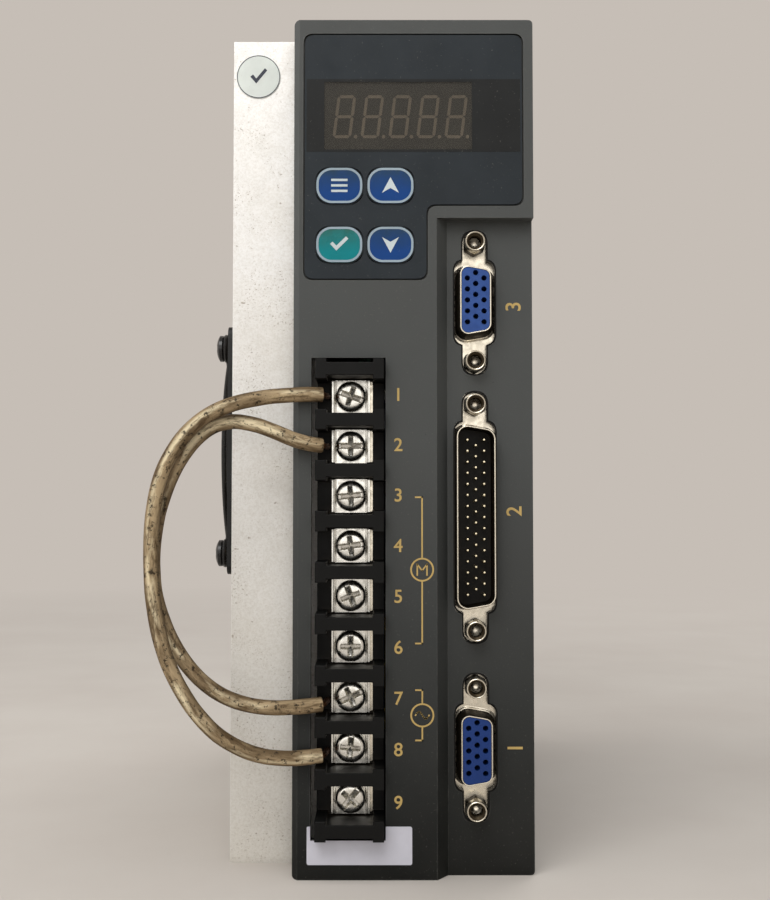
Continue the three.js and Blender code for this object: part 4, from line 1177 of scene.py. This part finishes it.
def fin_sticker():
    """Round paper sticker with a thin printed ring at its rim and a plain tick."""
    low, high = low_high("fin_sticker")
    x0, z0 = middle("fin_sticker").xz
    radius = (high.x - low.x) / 2
    face = high.y - 0.12
    bm = bmesh.new()
    add_slab(bm, circle(x0, z0, radius, 64), face, high.y)
    piece("fin_sticker_paper", bm, "sticker_paper", replaces=["fin_sticker"])

    bm = bmesh.new()
    ring, hole = [circle(x0, z0, radius - inset, 64) for inset in (0.06, 0.22)]
    add_slab(bm, ring, face - INK, face + 0.01, [hole])
    tick = [(-1.8, 0), (-1.2, 0.5), (-0.5, -0.4), (1.4, 1.9), (1.9, 1.4), (-0.5, -1.5)]
    add_slab(bm, moved(tick, x0, z0), face - INK, face + 0.01)
    piece("fin_sticker_print", bm, "label_ink")


def printed_text(name, text, x, z, size, y, turn=0):
    """Plain numbers printed on the cover."""
    data = bpy.data.curves.new(name, "FONT")
    data.body = text
    data.size = size * MM
    data.align_x = "CENTER"
    data.align_y = "CENTER"
    data.extrude = INK / 2 * MM
    data.offset = 0.04 * MM
    text_object = new_object(name, data)
    text_object.location = Vector((x, y - INK / 2, z)) * MM
    text_object.rotation_euler = (math.radians(90), math.radians(-turn), 0)
    data.materials.append(FINISH["legend_gold"])
    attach(text_object, BODY)


def line_mark(bm, x0, z0, x1, z1, width=0.32):
    """A printed stroke on the cover's front."""
    along = Vector((x1 - x0, z1 - z0)).normalized() * width / 2
    side = Vector((-along.y, along.x))
    a, b = Vector((x0, z0)), Vector((x1, z1))
    corners = [a - along - side, b + along - side, b + along + side, a - along + side]
    add_slab(bm, [(c.x, c.y) for c in corners], FRONT - INK, FRONT + 0.01)


def circuit_marks():
    """Plain circuit symbols beside the terminals, a motor circle and an alternating source, and numbers."""
    terminal = [middle(f"terminal_screw_{i}") for i in range(1, 10)]
    spine, motor_z, source_z = 1.7, -26.0, -55.7
    tap, gap, lead = 1.3, 2.6, 5.1
    top, bottom = terminal[2].z - 0.3, terminal[5].z + 0.9
    source_top, source_bottom = source_z + lead, source_z - lead
    bm = bmesh.new()
    for end, start in ((top, motor_z + gap), (bottom, motor_z - gap),
                       (source_top, source_z + gap), (source_bottom, source_z - gap)):
        line_mark(bm, spine, start, spine, end)
        line_mark(bm, spine, end, spine - tap, end)
    for z in (motor_z, source_z):
        add_slab(bm, circle(spine, z, 2.45, 40), FRONT - INK, FRONT + 0.01, [circle(spine, z, 2.1, 40)])
    steps = [(spine - 1.4 + 2.8 * i / 12, source_z + 0.7 * math.sin(2 * math.pi * i / 12)) for i in range(13)]
    for (x0, z0), (x1, z1) in zip(steps, steps[1:]):
        line_mark(bm, x0, z0, x1, z1, 0.28)
    for side in (-1, 1):
        post = spine + side
        line_mark(bm, post, motor_z - 1.1, post, motor_z + 1.1, 0.3)
        line_mark(bm, post, motor_z + 1.1, spine, motor_z - 0.2, 0.3)
    piece("circuit_marks", bm, "legend_gold")
    for i, at in enumerate(terminal, 1):
        text, turn = ("6", 180) if i == 9 else (str(i), 0)
        printed_text(f"terminal_number_{i}", text, -3.2, at.z, 3.8, FRONT, turn)
    for i, z in ((3, 29), (2, -14), (1, -63)):
        printed_text(f"connector_number_{i}", str(i), 21.2, z, 4.5, recess_floor, 90)


paper_label()
fin_sticker()
circuit_marks()


# ---------- floor, backdrop and light ----------

BACKGROUND = rgb(198, 190, 182)
LAMP_AIM = (0, -0.09, 0)


def seen_ray(tree):
    """1 for camera, glossy and transmission rays, 0 for the rays that light the object."""
    path = add_node(tree, "ShaderNodeLightPath")
    total = path.outputs["Is Camera Ray"]
    for name in ("Is Glossy Ray", "Is Transmission Ray"):
        join = add_node(tree, "ShaderNodeMath", {0: total, 1: path.outputs[name]}, operation="MAXIMUM")
        total = join.outputs[0]
    return total


def make_floor():
    """Pale floor at the drive's foot, which runs into the plain background further out."""
    low, reach = cad_box[0].z, 6.0
    bm = bmesh.new()
    bm.faces.new([bm.verts.new((x, y, low)) for x, y in rectangle(-reach, reach, -reach, reach)])
    floor = new_object("floor", new_mesh("floor", bm))
    finish = Finish("floor", 0.85, 0, 0.2)
    finish.tones(finish.mask(60, 4, 0.3, 0.7), rgb(196, 188, 180), rgb(202, 195, 187))
    floor.data.materials.append(finish.done(finish.noise(4, 3), 0.1, 0.1))
    away = finish.add("ShaderNodeVectorMath", {0: finish.place}, operation="LENGTH").outputs["Value"]
    plain = finish.add("ShaderNodeEmission", {"Color": BACKGROUND, "Strength": 1.0}).outputs[0]
    share = finish.times(finish.between(away, 0.2, 0.75), seen_ray(finish.tree))
    mix = finish.add("ShaderNodeMixShader", {0: share, 1: finish.shader.outputs[0], 2: plain})
    put(finish.tree, mix.outputs[0], finish.tree.nodes["Material Output"].inputs["Surface"])


def make_light():
    """A world that is brighter overhead, seen as the plain background, and four area lamps."""
    world = bpy.data.worlds.new("studio")
    world.use_nodes = True
    tree = world.node_tree
    bpy.context.scene.world = world
    fill = tree.nodes["Background"]
    fill.inputs["Color"].default_value = (1, 0.995, 0.985, 1)
    place = add_node(tree, "ShaderNodeTexCoord").outputs["Generated"]
    height = add_node(tree, "ShaderNodeSeparateXYZ", {0: place}).outputs["Z"]
    links = {"Value": height, "From Min": -0.7, "From Max": 0.9, "To Min": 0.08, "To Max": 0.66}
    put(tree, add_node(tree, "ShaderNodeMapRange", links).outputs["Result"], fill.inputs["Strength"])
    plain = add_node(tree, "ShaderNodeBackground", {"Color": BACKGROUND}).outputs[0]
    mix = add_node(tree, "ShaderNodeMixShader", {0: seen_ray(tree), 1: fill.outputs[0], 2: plain})
    put(tree, mix.outputs[0], tree.nodes["World Output"].inputs["Surface"])

    def lamp(name, place, power, size):
        data = bpy.data.lights.new(name, "AREA")
        data.energy = power
        data.shape = "RECTANGLE"
        data.size, data.size_y = size
        light = new_object(name, data)
        light.location = place
        light.rotation_euler = (Vector(LAMP_AIM) - light.location).to_track_quat("-Z", "Y").to_euler()

    lamp("key_light", Vector((-0.12, -0.42, 0.36)), 1.15, (0.35, 0.25))
    lamp("front_light", Vector((-0.1, -1.5, 0.28)), 5.0, (1.4, 1.2))
    lamp("side_light", Vector((-0.8, -0.1, 0.35)), 1.8, (0.5, 0.5))
    lamp("back_light", Vector((0.5, 0.75, 0.6)), 3.0, (0.7, 0.5))
    bpy.context.scene.view_settings.view_transform = "Standard"


make_floor()
make_light()

bpy.context.view_layer.update()
